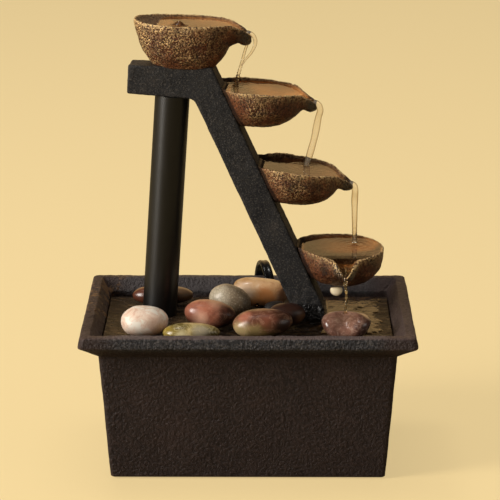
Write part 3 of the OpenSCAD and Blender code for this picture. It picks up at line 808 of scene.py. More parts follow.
def make_bowl(node, seed):
    spec = BOWLS[node]
    out, inn = bowl_grid(node, False), bowl_grid(node, True)
    rows = [out[:, k] for k in range(out.shape[1] - 1, -1, -1)]
    wall = [0.0] * len(rows)
    # the rim is rounded over between the two sides
    for t in (0.25, 0.5, 0.75):
        row = out[:, 0] * (1 - t) + inn[:, 0] * t
        rows.append(row + np.array([0, 0, 1]) * 0.6 * math.sin(math.pi * t))
        wall.append(t)
    rows += [inn[:, k] for k in range(inn.shape[1])]
    wall += [1.0] * inn.shape[1]
    placed = []
    for row, t in zip(rows, wall):
        below = spec.at[1] - place(row, spec)[:, 2]
        row = place(row, spec)
        if node != "top_bowl":
            # against the leg the wall is thin at the rim and thick below the water
            row = clear_of_leg(row, spec, -0.8 + t * (2.6 + 3.4 * smoothstep(3, 10, below)))
        placed.append(row)
    obj = closed_grid(node + "_cast", [in_frame(row) for row in placed])
    flat = np.concatenate(placed)
    own = np.concatenate(rows)
    share = np.repeat(wall, ANGLES)
    top = own[:, 2] + lip_drop(spec, own[:, 0]) + droop(spec, own[:, 0])
    lip_x = own[:, 0] - (spec.stretch - PLAIN_STRETCH) / 2
    on_rim, inside = (share > 0) & (share < 1), share >= 1
    # how near each point is to the rim, how far under water it is, and how near it is to the leg
    add_attribute(obj, "rim", np.where(on_rim, 1.0, np.exp(np.minimum(top, 0) / 2.0)))
    add_attribute(obj, "inside", inside * 1.0)
    deep = inside * smoothstep(-1.0, 2.0, spec.level - flat[:, 2])
    if node == "top_bowl":
        deep = deep * smoothstep(-24, -10, own[:, 0])
    add_attribute(obj, "deep", deep)
    add_attribute(obj, "spoutward", 0.5 + own[:, 0] / 64)
    add_attribute(obj, "wet", smoothstep(34.0, 37.5, lip_x) * (np.abs(own[:, 1]) < 12))
    if node == "top_bowl":
        add_attribute(obj, "leg", 0.6 * (1 - smoothstep(-29, -16, top)))
    else:
        add_attribute(obj, "leg", 1 - smoothstep(2, 17, flat[:, 0] - edge_x(flat[:, 2])))
    points, normals = arrays(obj)
    lump = 0.4 * grain(points, 10, seed) + 0.26 * grain(points, 3.6, seed + 1)
    lump += 0.2 * grain(points, 1.4, seed + 2)
    # the lining is smoother, and the rim is chipped
    chips = on_rim * smoothstep(0.2, 0.6, grain(points, 4, seed + 3))
    lump = lump * np.where(inside, 0.35, 1.0) - 0.45 * chips
    if node == "top_bowl":
        lump = lump * smoothstep(-spec.depth, -spec.depth + 1.5, own[:, 2])
    swell(obj, points, normals, lump)
    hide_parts(node)
    return obj


def bowl_paint(name, seed, rust, dark, glint, floor, lip_highlight_and_wear, shade, shade_from):
    p = Paint(name)
    where = p.mapped(shift=(seed * 11.0, seed * 5.0, 0))
    patches = p.noise(12, 3, 0.55, where)
    base = p.ramp(p.noise(8, 4, 0.6, where), (0.3, dark), (0.52, "#5a301c"), (0.76, rust))
    leg = p.attribute("leg")
    base = p.over(base, leg, 0.7, p.mix(p.noise(3, 4), "#5c3620", "#925632"))
    fine = p.noise(1.05, 2, 0.6, where)
    # gold dust sits on the high grains, thickest near the rim, partly a painted highlight there, and on the
    # far side from the spout, which on the upper bowls is the side the light falls on: painted light
    high = p.ramp(p.attribute("rim"), (0.0, 0.0), (0.25, 0.5), (1.0, 1.0))
    cover = p.math("MAXIMUM", p.ramp(patches, (0.36, 0.12), (0.58, 1.0)), p.times(high, 0.8))
    cover = p.times(cover, p.ramp(p.attribute("spoutward"), (0.0, 1.0), (0.3, 1.0), (0.52, 0.6), (0.9, 0.2)))
    cover = p.times(cover, p.scaled(leg, -0.8, 1.0))
    dust = p.times(p.rise(fine, 0.48, 0.55), cover)
    base = p.over(base, dust, glint, "#fcd294")
    pits = p.fall(p.noise(1.1, 3, 0.7, p.mapped(shift=(3, seed * 9.0, 1))), 0.42, 0.52)
    base = p.over(base, pits, 0.85, "#1a0e09")
    inside = p.attribute("inside")
    wall = p.ramp(p.noise(4, 4, 0.65), (0.35, "#22120c"), (0.52, "#4a2819"), (0.7, "#8a5634"))
    # painted shade: the inner wall darkened beside the leg
    wall = p.over(wall, leg, 0.85, "#1a100a")
    # painted shade: the dry inner wall darkened under the rim
    wall = p.over(wall, p.rise(p.attribute("rim"), 0.1, 0.8), 0.65, "#22120b")
    base = p.over(base, inside, 0.9, wall)
    lining = p.mix(p.noise(7, 3), tuple(0.7 * c for c in srgb(floor)), floor)
    # painted shade and a painted reflection of the dark leg: the lining darkened near the leg
    lining = p.over(lining, leg, 0.9, "#1e130c")
    shaded = p.ramp(p.attribute("spoutward"), (shade_from, 0.0), (shade_from + 0.18, shade), (0.78, shade),
                    (0.9, 0.65 * shade))
    lining = p.mix(shaded, lining, "#180f09")
    base = p.over(base, p.attribute("deep"), 0.95, lining)
    wet = p.attribute("wet")
    # darker where wet at the spout: partly the wet resin, partly painted shade on the nose
    base = p.over(base, wet, 0.85, "#26170e")
    # pale gold along the rim: worn gilding and a painted highlight, strongest on the bottom bowl's wet spout
    # lips
    rim = p.times(p.attribute("rim"), p.rise(p.noise(1.3, 3, 0.6, where), 0.44, 0.56))
    rim = p.times(rim, p.scaled(p.math("MAXIMUM", inside, leg), -0.75, 1.0))
    base = p.over(base, rim, p.scaled(wet, lip_highlight_and_wear - 0.8, 0.8), "#deb87e")
    # painted shade where the bowl meets the leg
    base = p.mix(p.ramp(leg, (0.93, 0.0), (1.0, 0.85)), base, "#120b08")
    dry = p.math("SUBTRACT", 1.0, p.math("MAXIMUM", inside, wet))
    metal = p.times(p.times(dust, dry), 0.5)
    rough = p.scaled(p.times(dust, dry), -0.16, 0.5)
    rough = p.scaled(wet, -0.36, rough)
    rough = p.add(rough, p.times(p.math("SUBTRACT", inside, p.attribute("deep")), 0.5))
    bump = p.bump(fine, 1.0, 0.8)
    bump = p.bump(p.noise(2.6, 4, 0.65, where), 0.55, 0.9, bump)
    return p.surface(Base_Color=base, Roughness=rough, Metallic=metal, Normal=bump, Specular_IOR_Level=0.3,
                     Coat_Weight=p.times(wet, 0.8), Coat_Roughness=0.08, Coat_Normal=bump)


# seed, high colour, low colour, gold dust, lining, painted highlight and wear on the spout's lips,
# shade near the spout and where it starts
BOWL_LOOKS = {
    "top_bowl": (11, "#905430", "#3e2617", 1.0, "#9e6a3c", 0.1, 0.3, 0.6),
    "second_bowl": (23, "#9a5835", "#3c2416", 0.95, "#c28246", 0.1, 0.3, 0.6),
    "third_bowl": (37, "#985630", "#402918", 1.0, "#6e4624", 0.1, 0.3, 0.6),
    "bottom_bowl": (51, "#824828", "#301d12", 0.75, "#a86b38", 0.9, 0.95, 0.28),
}
for node, (seed, *look) in BOWL_LOOKS.items():
    dress(make_bowl(node, seed), bowl_paint(node + "_resin", seed, *look), DECK)

# ---------- water ----------


# rings from the edge down the wall, and from the edge in to where the falling water lands, as shares
RINGS_DOWN = 26
# the share of the bowl's fall that moving water keeps, and the ripples' length and reach
FALL_KEPT, RIPPLE_LENGTH, RIPPLE_REACH = 0.45, 4.2, 9.0
RINGS_IN = [*np.linspace(1, 0.9, 7), *np.linspace(0.88, 0.22, 30), *np.geomspace(0.2, 0.004, 22)]


def make_pool(node, hits):
    """The water in a bowl, up to its level, and down through the spout between its lips."""
    spec = BOWLS[node]
    level = spec.level
    slope = 0.0 if spec.turn else FALL_KEPT * math.tan(math.radians(spec.fall))
    grid = bowl_grid(node, True, WALL - 0.35)
    placed = place(grid.reshape(-1, 3), spec)
    if node != "top_bowl":
        placed = clear_of_leg(placed, spec, 2.0)
    placed = placed.reshape(grid.shape)
    # heights are taken over the sloping surface, and put back at the end
    placed[:, :, 2] += slope * (placed[:, :, 0] - spec.at[0])
    rows = [[] for _ in range(RINGS_DOWN)]
    edge, edge_own = [], []
    for i in range(ANGLES):
        column, col_own = placed[i], grid[i]
        k = int(np.argmax(column[:, 2] < level))
        if k == 0:
            start, start_own = column[0], col_own[0]
        else:
            f = (column[k - 1, 2] - level) / (column[k - 1, 2] - column[k, 2])
            start = column[k - 1] * (1 - f) + column[k] * f
            start_own = col_own[k - 1] * (1 - f) + col_own[k] * f
        line = [start, *column[max(k, 1):]]
        for j, q in enumerate(along(line, RINGS_DOWN - 1)):
            rows[j].append(q)
        edge.append(start)
        edge_own.append(start_own)
    edge, edge_own = np.array(edge), np.array(edge_own)
    # the grid's middle is where the falling water lands, so its rings follow the ripples
    centre = np.array([hits[0][0], hits[0][1], level])
    to_own = place(np.array([[0.0, 0, 0], [1, 0, 0]]), spec)
    along_x = (to_own[1] - to_own[0])[:2]
    centre_x = float((centre[:2] - to_own[0][:2]) @ along_x)
    top_rows = []
    for f in RINGS_IN:
        flat = centre + (edge - centre) * f
        own_x = centre_x + (edge_own[:, 0] - centre_x) * f
        lips = np.stack([own_x, np.zeros(len(flat)), -lip_drop(spec, own_x) - 0.9], axis=1)
        lips = place(lips, spec)
        z = np.minimum(level, lips[:, 2] + slope * (lips[:, 0] - spec.at[0]))
        z = level - np.sqrt((level - z) ** 2 + 0.02)
        if f > 0.97:
            # in the spout the edge stays down between the lips
            z = np.where(edge_own[:, 0] > 20, np.minimum(z, flat[:, 2] + 0.6 + (1 - f) * 110), z)
        # the ripples fade out towards the wall
        calm = smoothstep(1.0, 0.93, f)
        for hx, hy, height, size, rings in hits:
            d = np.hypot(flat[:, 0] - hx, flat[:, 1] - hy)
            z += height * np.exp(-(d / size) ** 2)
            wave = calm * rings * np.cos(d * 2 * math.pi / RIPPLE_LENGTH)
            z += wave * np.exp(-d / RIPPLE_REACH) * smoothstep(1.5, 4, d)
        z += calm * 0.06 * grain(np.stack([flat[:, 0], flat[:, 1], flat[:, 1] * 0], axis=1), 6, 3)
        # the surface clings a little up the wall
        z += 0.3 * math.exp(-((1 - f) / 0.03) ** 2) * (own_x < 20)
        top_rows.append(np.stack([flat[:, 0], flat[:, 1], z], axis=1))
    all_rows = top_rows[::-1] + [np.array(r) for r in rows[1:]]
    for row in all_rows:
        row[:, 2] -= slope * (row[:, 0] - spec.at[0])
    return closed_grid(node.replace("bowl", "pool"), [in_frame(r) for r in all_rows])


TOP_LEVEL, UPWELL_AT = BOWLS["top_bowl"].level, (-43.4, -8.5)


def spout_points(node, own):
    return place(np.array(own, float), BOWLS[node])


def water_paint(name, colour, ripple=0.0, size=3.0):
    p = Paint(name)
    normal = p.bump(p.noise(size, 2, 0.5), ripple, 0.5) if ripple else None
    return p.water(colour, normal)


POOL_HITS = {
    "top_bowl": [(*UPWELL_AT, 0.7, 5.0, 0.10)],
    "second_bowl": [(-8.8, 5.0, 0.9, 2.2, 0.20)],
    "third_bowl": [(36.4, 7.6, 0.6, 2.4, 0.16)],
    "bottom_bowl": [(67.6, 9.0, 0.8, 2.2, 0.22)],
}
pool_paint = water_paint("pool_water", "#fadeac")
for node, hits in POOL_HITS.items():
    dress(make_pool(node, hits), pool_paint, DECK)


def make_upwell():
    """The low dome of water that comes up from the tube's mouth in the top bowl."""
    n, steps = 48, 16
    x, y = UPWELL_AT
    turns = [2 * math.pi * j / n for j in range(n)]
    rings = []
    for k in range(steps + 1):
        t = k / steps
        r = 6.6 * t + 0.02
        z = 2.9 * math.exp(-(t / 0.5) ** 2) + 0.25 * math.cos(9 * t) * t * (1 - t) - 0.35
        lean = 0.8 * (1 - t)
        rings.append([(x + lean + r * math.cos(a), y + 0.8 * r * math.sin(a), TOP_LEVEL + z) for a in turns])
    rings.append([(x + 6.0 * math.cos(a), y + 4.8 * math.sin(a), TOP_LEVEL - 2) for a in turns])
    return closed_grid("upwell", [in_frame(ring) for ring in rings])


def upwell_paint():
    p = Paint("upwell_water")
    # the brown is painted on the water: a painted reflection of the dark bowl, seen in and through the dome
    base = p.ramp(p.noise(2.5, 3, 0.5), (0.3, "#4a2e1a"), (0.7, "#78502e"))
    return p.surface(Base_Color=base, Roughness=0.12, IOR=WATER_IOR, Transmission_Weight=0.35)


dress(make_upwell(), upwell_paint(), DECK)


def oval(a, b, n=20):
    turns = [2 * math.pi * k / n for k in range(n)]
    return [(a * math.cos(turn), b * math.sin(turn)) for turn in turns]


def stream(name, path, widths, depths, beads, seed):
    """A falling strand of water: an oval tube, wide across the picture plane, that thins and beads."""
    line = curve(path, 10)
    pitch, depth, start = beads
    sections = []
    for i, point in enumerate(line):
        t = i / (len(line) - 1)
        a, b = (float(np.interp(t, np.linspace(0, 1, len(size)), size)) / 2 for size in (widths, depths))
        beaded = float(smoothstep(start - 0.05, start + 0.08, t))
        wave = 1 + depth * beaded * math.sin(2 * math.pi * point[2] / pitch)
        twist = 1 + 0.12 * noise.noise(Vector((0, seed, point[2] / 9)))
        sections.append(oval(a * wave * twist, b * wave))
    up = np.array([0.0, 1.0, 0.02])
    return sweep(name, list(in_frame(line)), sections, [up] * len(line))


def strand_paint(name, milky, middle, edge):
    p = Paint(name)
    # darker towards the edges: a painted reflection of the dark surroundings that falling water shows at its
    # sides
    side = p.node("LayerWeight", Blend=0.5).outputs["Facing"]
    tint = p.ramp(side, (0.06, middle), (edge[0], "#d0bc98"), (edge[1], "#5c462c"))
    return p.water(tint, clear=1.0 - milky)


fall_paint = strand_paint("falling_water", 0.15, "#fff7e8", (0.2, 0.42))
# name, line, widths and depths along it, and its beads' pitch, depth and start
STREAMS = [
    ("stream_1_main",
     [(-0.6, 0, 267.5), (-1.2, 0, 264.9), (-2.1, 0, 262.4), (-4.1, 0, 254.7), (-6.3, 0, 247.0),
      (-8.0, 3.0, 239.9), (-8.8, 5.0, 237.4)],
     [2.0, 1.8, 1.7, 1.8, 2.2, 2.9, 3.8], [1.4, 1.4, 1.4, 1.4, 1.6, 2.0], (1.25, 0.28, 0.5)),
    ("stream_1_curl",
     [*spout_points("top_bowl", [(39.0, 0, -5.2), (41.0, 0, -6.0)]), (3.0, 0, 271.6), (4.3, 0, 268.6),
      (4.0, 0, 265.4), (1.8, 0, 260.8), (-1.6, 0, 256.6), (-4.4, 0, 252.4)],
     [2.0, 2.4, 2.8, 2.6, 2.2, 1.6, 1.2, 0.9], [1.0, 1.0, 1.0, 0.9, 0.8, 0.7], (1.1, 0.0, 1.0)),
    ("stream_2",
     [*spout_points("second_bowl", [(39.5, 0, -6.2), (41.6, 0, -6.8), (43.4, 0, -8.4), (44.3, 0, -11.5)]),
      (44.0, 0.8, 219), (41.8, 2.4, 207), (39.0, 4.8, 196), (37.0, 6.8, 189), (36.4, 7.6, 186.2)],
     [3.6, 4.0, 4.2, 4.4, 4.4, 4.2, 3.8, 3.6], [1.2, 1.3, 1.3, 1.2, 1.1, 1.2], (1.2, 0.06, 0.8)),
    ("stream_3",
     [*spout_points("third_bowl", [(39.5, 0, -6.0), (41.4, 0, -6.4), (43.0, 0, -7.6), (43.9, 0, -10.5)]),
      (67.6, 1.5, 166), (67.6, 3.5, 155), (67.6, 6.0, 145), (67.6, 8.0, 139), (67.6, 9.0, 136.4)],
     [3.8, 4.0, 4.2, 4.2, 3.8, 3.2, 2.8, 3.0], [1.3, 1.3, 1.3, 1.4, 1.6, 2.0], (1.35, 0.18, 0.7)),
    ("stream_4",
     [*spout_points("bottom_bowl", [(29.5, 0, -6.0), (33.6, 0, -8.0), (36.6, 0, -10.6), (37.5, 0, -14.6)]),
      (64.3, -35.4, 115), (64.2, -36.8, 110), (64.0, -38.8, 106), (64.0, -40.6, 103.4)],
     [4.0, 3.4, 2.8, 2.2, 1.8, 1.6, 1.8, 3.0], [2.2, 2.2, 2.0, 1.8, 1.6, 1.8], (3.4, 0.16, 0.4)),
]
trickle_paint = strand_paint("trickling_water", 0.03, "#ffe8b8", (0.3, 0.55))
for i, (name, *facts) in enumerate(STREAMS):
    paint = trickle_paint if name == "stream_4" else fall_paint
    dress(stream(name, *facts, i * 3.3), paint, DECK)


def ball(name, centre, size, shape, cuts):
    """A round closed form from an icosphere. shape moves its unit points before they are sized."""
    bm = bmesh.new()
    bmesh.ops.create_icosphere(bm, subdivisions=cuts, radius=1)
    mesh = bpy.data.meshes.new(name)
    bm.to_mesh(mesh)
    bm.free()
    unit = np.empty(len(mesh.vertices) * 3)
    mesh.vertices.foreach_get("co", unit)
    obj = link(name, mesh)
    put_back(obj, shape(unit.reshape(-1, 3)) * (np.array(size) / 2) + np.array(centre))
    return obj


def make_drop():
    """A fat drop that hangs on under the bottom bowl, beside its spout."""
    def sag(u):
        u = u.copy()
        u[:, 2] = np.where(u[:, 2] > 0.35, 0.35 + (u[:, 2] - 0.35) * 0.25, u[:, 2])
        return u

    return ball("hanging_drop", (56.2, -3.5, 109.4), (8.0, 4.2, 8.0), sag, 4)


# the drop is painted milky cream-white: painted light standing in for the bright backdrop seen through a
# clear drop
dress(make_drop(), strand_paint("drop_water", 0.9, "#fff0cc", (0.6, 0.98)), DECK)


# where the film's ripples run out from, by the maroon stone
FILM_RIPPLES = (66, -30)


def make_film():
    """A film of water on the right of the deck, broken up where the deck stands out of it."""
    X, Y = np.meshgrid(np.arange(30, 91.2, 0.9), np.arange(-55, 50.1, 0.9))
    flat = np.stack([X.ravel(), Y.ravel(), np.full(X.size, DECK_TOP)], axis=1)
    x, y = flat[:, 0], flat[:, 1]
    reach = smoothstep(30, 48, x) * smoothstep(94, 74, x) * smoothstep(-48, -20, y)
    cover = reach + 0.45 * grain(flat, 9, 3.3) + 0.3 * grain(flat, 3.5, 4.4)
    d = np.hypot(x - FILM_RIPPLES[0], y - FILM_RIPPLES[1])
    height = -0.5 + 1.05 * smoothstep(0.35, 0.8, cover)
    height += 0.07 * np.cos(d * 2 * math.pi / 7) * np.exp(-d / 45) + 0.05 * grain(flat, 5, 7.7)
    height = height.reshape(X.shape)
    height[0, :] = height[-1, :] = height[:, 0] = height[:, -1] = -0.55
    ny, nx = X.shape
    verts = [(X[j, i], Y[j, i], DECK_TOP + height[j, i]) for j in range(ny) for i in range(nx)]
    faces = [(j * nx + i, j * nx + i + 1, (j + 1) * nx + i + 1, (j + 1) * nx + i)
             for j in range(ny - 1) for i in range(nx - 1)]
    # a skirt from the sheet's border down into the deck, and a flat bottom
    ring = [i for i in range(nx)] + [j * nx + nx - 1 for j in range(1, ny)]
    ring += [(ny - 1) * nx + i for i in range(nx - 2, -1, -1)] + [j * nx for j in range(ny - 2, 0, -1)]
    base, m = len(verts), len(ring)
    verts += [(verts[k][0], verts[k][1], DECK_TOP - 1.0) for k in ring]
    faces += [(ring[k], ring[(k + 1) % m], base + (k + 1) % m, base + k) for k in range(m)]
    faces.append(tuple(base + k for k in range(m)))
    return mesh_object("deck_film", verts, faces)


dress(make_film(), water_paint("film_water", "#dcba8c", 0.3, 3.0), DECK)

# ---------- pebbles ----------

# place, height of the middle, turn, tip, size, roundness, thick end, seed
PEBBLES = {
    "cream": ((-65, -36), 9.3, 0, 0, (30, 26, 18.6), 2.25, 0.05, 1),
    "olive": ((-35, -49.4), 6.0, 4, 0, (36, 17, 12), 2.1, 0.12, 2),
    "red": ((-24, -21.5), 9.6, -8, 4, (33, 22, 18), 2.15, 0.10, 3),
    "grey": ((-11.8, 4.6), 11.1, -20, 10, (28, 20, 20), 2.1, 0.06, 4),
    "peach": ((7.4, 27.8), 9.8, 0, 2, (36.5, 19.5, 18), 2.7, 0.06, 5),
    "brown": ((9.4, -42), 9.9, 0, -5, (38, 24, 18), 2.15, 0.10, 6),
    "dark": ((-56, 34.4), 6.0, 0, 0, (40, 17, 12), 2.2, 0.06, 7),
    "maroon": ((61.6, -39.5), 7.75, 0, 0, (31.5, 25, 15.5), 2.6, 0.04, 8),
    "russet": ((24.6, -15.5), 7.5, 12, 0, (24, 17, 15), 2.2, 0.08, 9),
    "pale": ((17.5, 6.5), 5.0, 30, 0, (17, 12, 10), 2.2, 0.06, 10),
}


def make_pebble(name):
    (x, y), height, turn, tip, size, power, thick, seed = PEBBLES[name]
    half = np.array(size) / 2

    def shape(u):
        v = np.sign(u) * np.abs(u) ** (2 / power)
        v[:, 1] *= 1 - thick * v[:, 0]
        v[:, 2] *= 1 - thick * v[:, 0]
        lump = 0.045 * grain(v * half, 13, seed) + 0.018 * grain(v * half, 5, seed + 20)
        v = v * (1 + lump)[:, None]
        if name == "maroon":
            # the falling water has worn a dip between two lobes, and the stone narrows downwards
            dip = np.exp(-((v[:, 0] + 0.08) / 0.42) ** 2) * smoothstep(0.75, -0.5, v[:, 1])
            v[:, 1] += 0.36 * dip * smoothstep(-0.5, 0.5, v[:, 2])
            v[:, 2] -= 0.42 * dip * smoothstep(0, 0.8, v[:, 2])
            v[:, 0] *= 1 + 0.2 * v[:, 2]
        return v / np.abs(v).max(axis=0)

    obj = ball("pebble_" + name, (0, 0, 0), size, shape, 5)
    points, _ = arrays(obj)
    put_back(obj, turned(turned(points, "y", tip), "z", turn) + np.array([x, y, DECK_TOP + height]))
    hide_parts("stone_" + name)
    return obj


def pebble_paint(name, layers, rough=0.34, veins=None, spots=(), speckle=None, lace=None, low=None,
                 coat=0.3, gloss=0.26):
    """layers: ramp stops over soft noise. spots: (place, radius, colour, strength), in millimetres."""
    p = Paint("stone_" + name)
    seed = PEBBLES[name][-1] * 3.7
    where = p.mapped(shift=(seed, -seed, seed))
    base = p.ramp(p.noise(8, 5, 0.6, where, 0.8), *layers)
    if low:
        # another layer of the stone shows from a height down
        z0, z1, colour, strength = low
        wave = p.scaled(p.noise(8, 3, 0.5, where), 8.0, -4.0)
        height = p.math("DIVIDE", p.math("SUBTRACT", p.add(p.axis("Z"), wave), z0), z1 - z0)
        base = p.over(base, p.fall(height, 0.0, 1.0), strength, colour)
    for spot_at, radius, colour, strength in spots:
        d = p.node("VectorMath", {"operation": "DISTANCE"})
        p.set_all(d, p.mm, spot_at)
        ragged = p.scaled(p.noise(4, 4, 0.6, where), radius, -0.5 * radius)
        ragged = p.add(d.outputs["Value"], ragged)
        near = p.fall(p.math("DIVIDE", ragged, radius * 1.6), 0.35, 1.0)
        base = p.over(base, near, strength, colour)
    if veins:
        size, colour, strength = veins
        away = p.math("ABSOLUTE", p.math("SUBTRACT", p.noise(size, 5, 0.6, where, 1.0), 0.5))
        base = p.over(base, p.fall(away, 0.0, 0.03), strength, colour)
    if speckle:
        size, colour, strength, floor = speckle
        dots = p.rise(p.noise(size, 3, 0.7, where), floor, floor + 0.1)
        base = p.over(base, dots, strength, colour)
    bump = p.bump(p.noise(1.6, 3, 0.6, where), 0.08, 0.3)
    if lace:
        web = p.fall(p.cell_edges(lace, p.mapped((1, 0.6, 1), 30)), 0.0, 0.12)
        base = p.over(base, web, 0.4, "#605644")
        bump = p.bump(web, -0.25, 0.3, bump)
    return p.surface(Base_Color=base, Roughness=rough, Normal=bump, Coat_Weight=coat, Coat_Roughness=gloss)


PEBBLE_LOOKS = {
    "cream": dict(layers=[(0.34, "#cea890"), (0.47, "#e0c8b2"), (0.58, "#e6dbca")], rough=0.5,
                  spots=[((-55, -48, 93), 9, "#d0a288", 0.5), ((-72, -46, 91), 6, "#cca68e", 0.6)],
                  veins=(8, "#c6967c", 0.5), coat=0.12, gloss=0.35),
    # olive: the near-white spot low on the front of its left half is a painted highlight
    "olive": dict(layers=[(0.3, "#705c24"), (0.5, "#968042"), (0.7, "#bea874")],
                  spots=[((-49, -54, 97), 9, "#846e1e", 0.9), ((-42, -52, 100), 5, "#5c4c1a", 0.9),
                         ((-19, -54, 95), 7, "#5c4e22", 0.9), ((-41, -58, 94), 4, "#e8d8aa", 0.6),
                         ((-29, -56, 98), 5, "#a0947c", 0.85)],
                  veins=(6, "#d8c896", 0.5), gloss=0.18),
    # red: its two pale spots, low on the left and high on the right, are painted highlights; its darker
    # spots at the left and low on the right are painted shade
    "red": dict(layers=[(0.3, "#864c38"), (0.55, "#ae6c52"), (0.75, "#d29678")],
                spots=[((-31, -31, 97), 5, "#e2b296", 0.7), ((-19, -24, 107), 5, "#ce9c7c", 0.7),
                       ((-38, -28, 101), 6, "#864e3c", 0.6),
                       ((-10, -27, 97), 10, "#321a12", 0.95)], veins=(9, "#be9276", 0.25)),
    # grey: the light spot at its upper left is painted light and the dark spot at its right is painted shade
    "grey": dict(layers=[(0.3, "#7a6850"), (0.55, "#96846a"), (0.8, "#b0a086")],
                 speckle=(1.0, "#cec0a8", 0.5, 0.54), rough=0.42, lace=2.2, coat=0.1,
                 spots=[((-2, -2, 98), 9, "#5c4832", 0.7), ((-20, 0, 104), 7, "#bcb098", 0.6)]),
    # peach: the white spot at its left is a painted highlight; the orange and red-brown stains to its right
    # are real colour, lightened as painted light on that shaded end
    "peach": dict(layers=[(0.3, "#ca925e"), (0.5, "#e4b482"), (0.75, "#f6d8b4")], rough=0.24,
                  spots=[((-3, 20, 101), 6, "#f6e6ce", 0.4), ((11, 18, 98), 6, "#de8c4a", 0.8),
                         ((3, 18, 93), 4, "#e09658", 0.7), ((23, 22, 97), 6, "#c07a54", 0.6),
                         ((5.5, 18.8, 92.5), 1.3, "#221610", 0.95)], coat=0.5),
    # brown: the dark spot at its right end is painted shade
    "brown": dict(layers=[(0.3, "#46261a"), (0.55, "#623826"), (0.75, "#7e4e36")],
                  low=(95, 105, "#786034", 0.95),
                  spots=[((14, -52, 102), 5, "#844a36", 0.6), ((24, -46, 97), 10, "#2c180f", 0.9),
                         ((-5, -50, 95), 6, "#b29c6e", 0.75), ((-2, -47, 105), 4, "#b06c54", 0.7),
                         ((4, -54, 97), 4, "#968052", 0.7)],
                  veins=(10, "#c49478", 0.3)),
    "dark": dict(layers=[(0.3, "#301911"), (0.55, "#46261a"), (0.8, "#5c3626")],
                 spots=[((-70, 30, 96), 9, "#623421", 0.7), ((-42, 32, 99), 7, "#765a3e", 0.75)], coat=0.5),
    # maroon: the dark spots at its left and right ends are painted shade
    "maroon": dict(layers=[(0.3, "#5a382d"), (0.52, "#8a614f"), (0.75, "#b8947e")], rough=0.34,
                   spots=[((62, -42, 104), 6, "#684630", 0.6), ((74, -44, 97), 8, "#40251d", 0.9),
                          ((46, -46, 97), 6, "#543227", 0.75)],
                   veins=(5, "#c4a48e", 0.45), speckle=(1.2, "#462c22", 0.4, 0.56), coat=0.85, gloss=0.17),
    # russet: a reddish-brown stone, its colours darkened as painted shade where it lies between the brown
    # and peach stones
    "russet": dict(layers=[(0.3, "#24130c"), (0.55, "#381f15"), (0.8, "#4e2d1f")], rough=0.45, coat=0.15,
                   spots=[((35, -20, 95), 4, "#6e4c2e", 0.7)]),
    # the pale stone is painted nearly black: a painted shadow in the gap between the peach and brown stones
    "pale": dict(layers=[(0.3, "#0f0a07"), (0.55, "#160e0a"), (0.8, "#20150f")], rough=0.7, coat=0.0),
}
for name, look in PEBBLE_LOOKS.items():
    dress(make_pebble(name), pebble_paint(name, **look), DECK)

# ---------- small parts ----------


def plain_paint(name, dark, light, size, rough, bump, grain_size=0.8, metallic=0.0, streak=None):
    p = Paint(name)
    where = p.mapped(streak) if streak else p.mm
    base = p.ramp(p.noise(size, 4, 0.6, where), (0.3, dark), (0.7, light))
    roughness = p.ramp(p.noise(size / 2, 3, 0.5, where), (0.3, rough[0]), (0.7, rough[1]))
    normal = p.bump(p.noise(grain_size, 3, 0.6, where), bump, 0.3)
    return p.surface(Base_Color=base, Roughness=roughness, Normal=normal, Metallic=metallic)


def tube_paint():
    p = Paint("tube_vinyl")
    tint = p.ramp(p.noise(5, 2), (0.3, "#ced6d8"), (0.7, "#e2e8e9"))
    return p.surface(Base_Color=tint, Roughness=0.12, Transmission_Weight=0.6, IOR=1.45)


def winding_paint():
    p = Paint("copper")
    turns = p.math("PINGPONG", p.times(p.axis("Z"), 1 / 0.35), 1.0)
    base = p.ramp(turns, (0.0, "#602c12"), (0.5, "#ba6430"), (1.0, "#d68448"))
    return p.surface(Base_Color=base, Roughness=0.3, Metallic=0.85, Normal=p.bump(turns, 0.7, 0.2))


def laminated_paint():
    p = Paint("core_steel")
    sheets = p.math("PINGPONG", p.times(p.axis("Y"), 1 / 0.5), 1.0)
    base = p.mix(p.noise(6, 3), "#808286", "#a0a2a6")
    base = p.mix(p.fall(sheets, 0.0, 0.3), base, "#424246")
    return p.surface(Base_Color=base, Roughness=0.38, Metallic=0.9, Normal=p.bump(sheets, 0.5, 0.15))


# each material's dark and light colours, size of its mottling, roughness and bump, with grain, metal
# and stretch where they differ, and the nodes that have it
PLAIN_PARTS = {
    "pump_plastic": (("#1e1e20", "#28282a", 9, (0.3, 0.42), 0.2, 0.6),
                     ["pump_housing", "intake_cover", "flow_dial"]),
    "black_rubber": (("#181819", "#242323", 5, (0.6, 0.75), 0.25, 0.5),
                     ["outlet_grommet", "shaft_bushes", "suction_cups"]),
    "cord_vinyl": (("#0e0e10", "#161618", 14, (0.16, 0.24), 0.05, 1.5), ["cord_gland", "plug_body"]),
    "foot_rubber": (("#262524", "#363432", 4, (0.7, 0.85), 0.3, 0.5), ["basin_feet"]),
    "steel": (("#969698", "#b6b6b8", 3, (0.25, 0.4), 0.1, 0.4, 1.0, (1, 1, 0.2)), ["bowl_pins"]),
    "potting_resin": (("#18181a", "#26262a", 12, (0.12, 0.25), 0.1, 4), ["pump_potting"]),
    "white_ceramic": (("#e2ded6", "#f0ede6", 3, (0.1, 0.2), 0.03), ["pump_shaft"]),
    "magnet": (("#2c2c2f", "#444448", 2.5, (0.5, 0.7), 0.3, 0.5, 0.4), ["rotor_magnet"]),
    "clear_plastic": (("#ced1d4", "#e0e2e4", 6, (0.3, 0.4), 0.05), ["impeller"]),
    "brass_blades": (("#b09662", "#ceb680", 4, (0.22, 0.34), 0.1, 0.4, 1.0, (0.2, 1, 1)),
                     ["plug_blades"]),
    "tie_fabric": (("#161616", "#222222", 1.2, (0.8, 0.95), 0.6, 0.5), ["cord_tie"]),
}
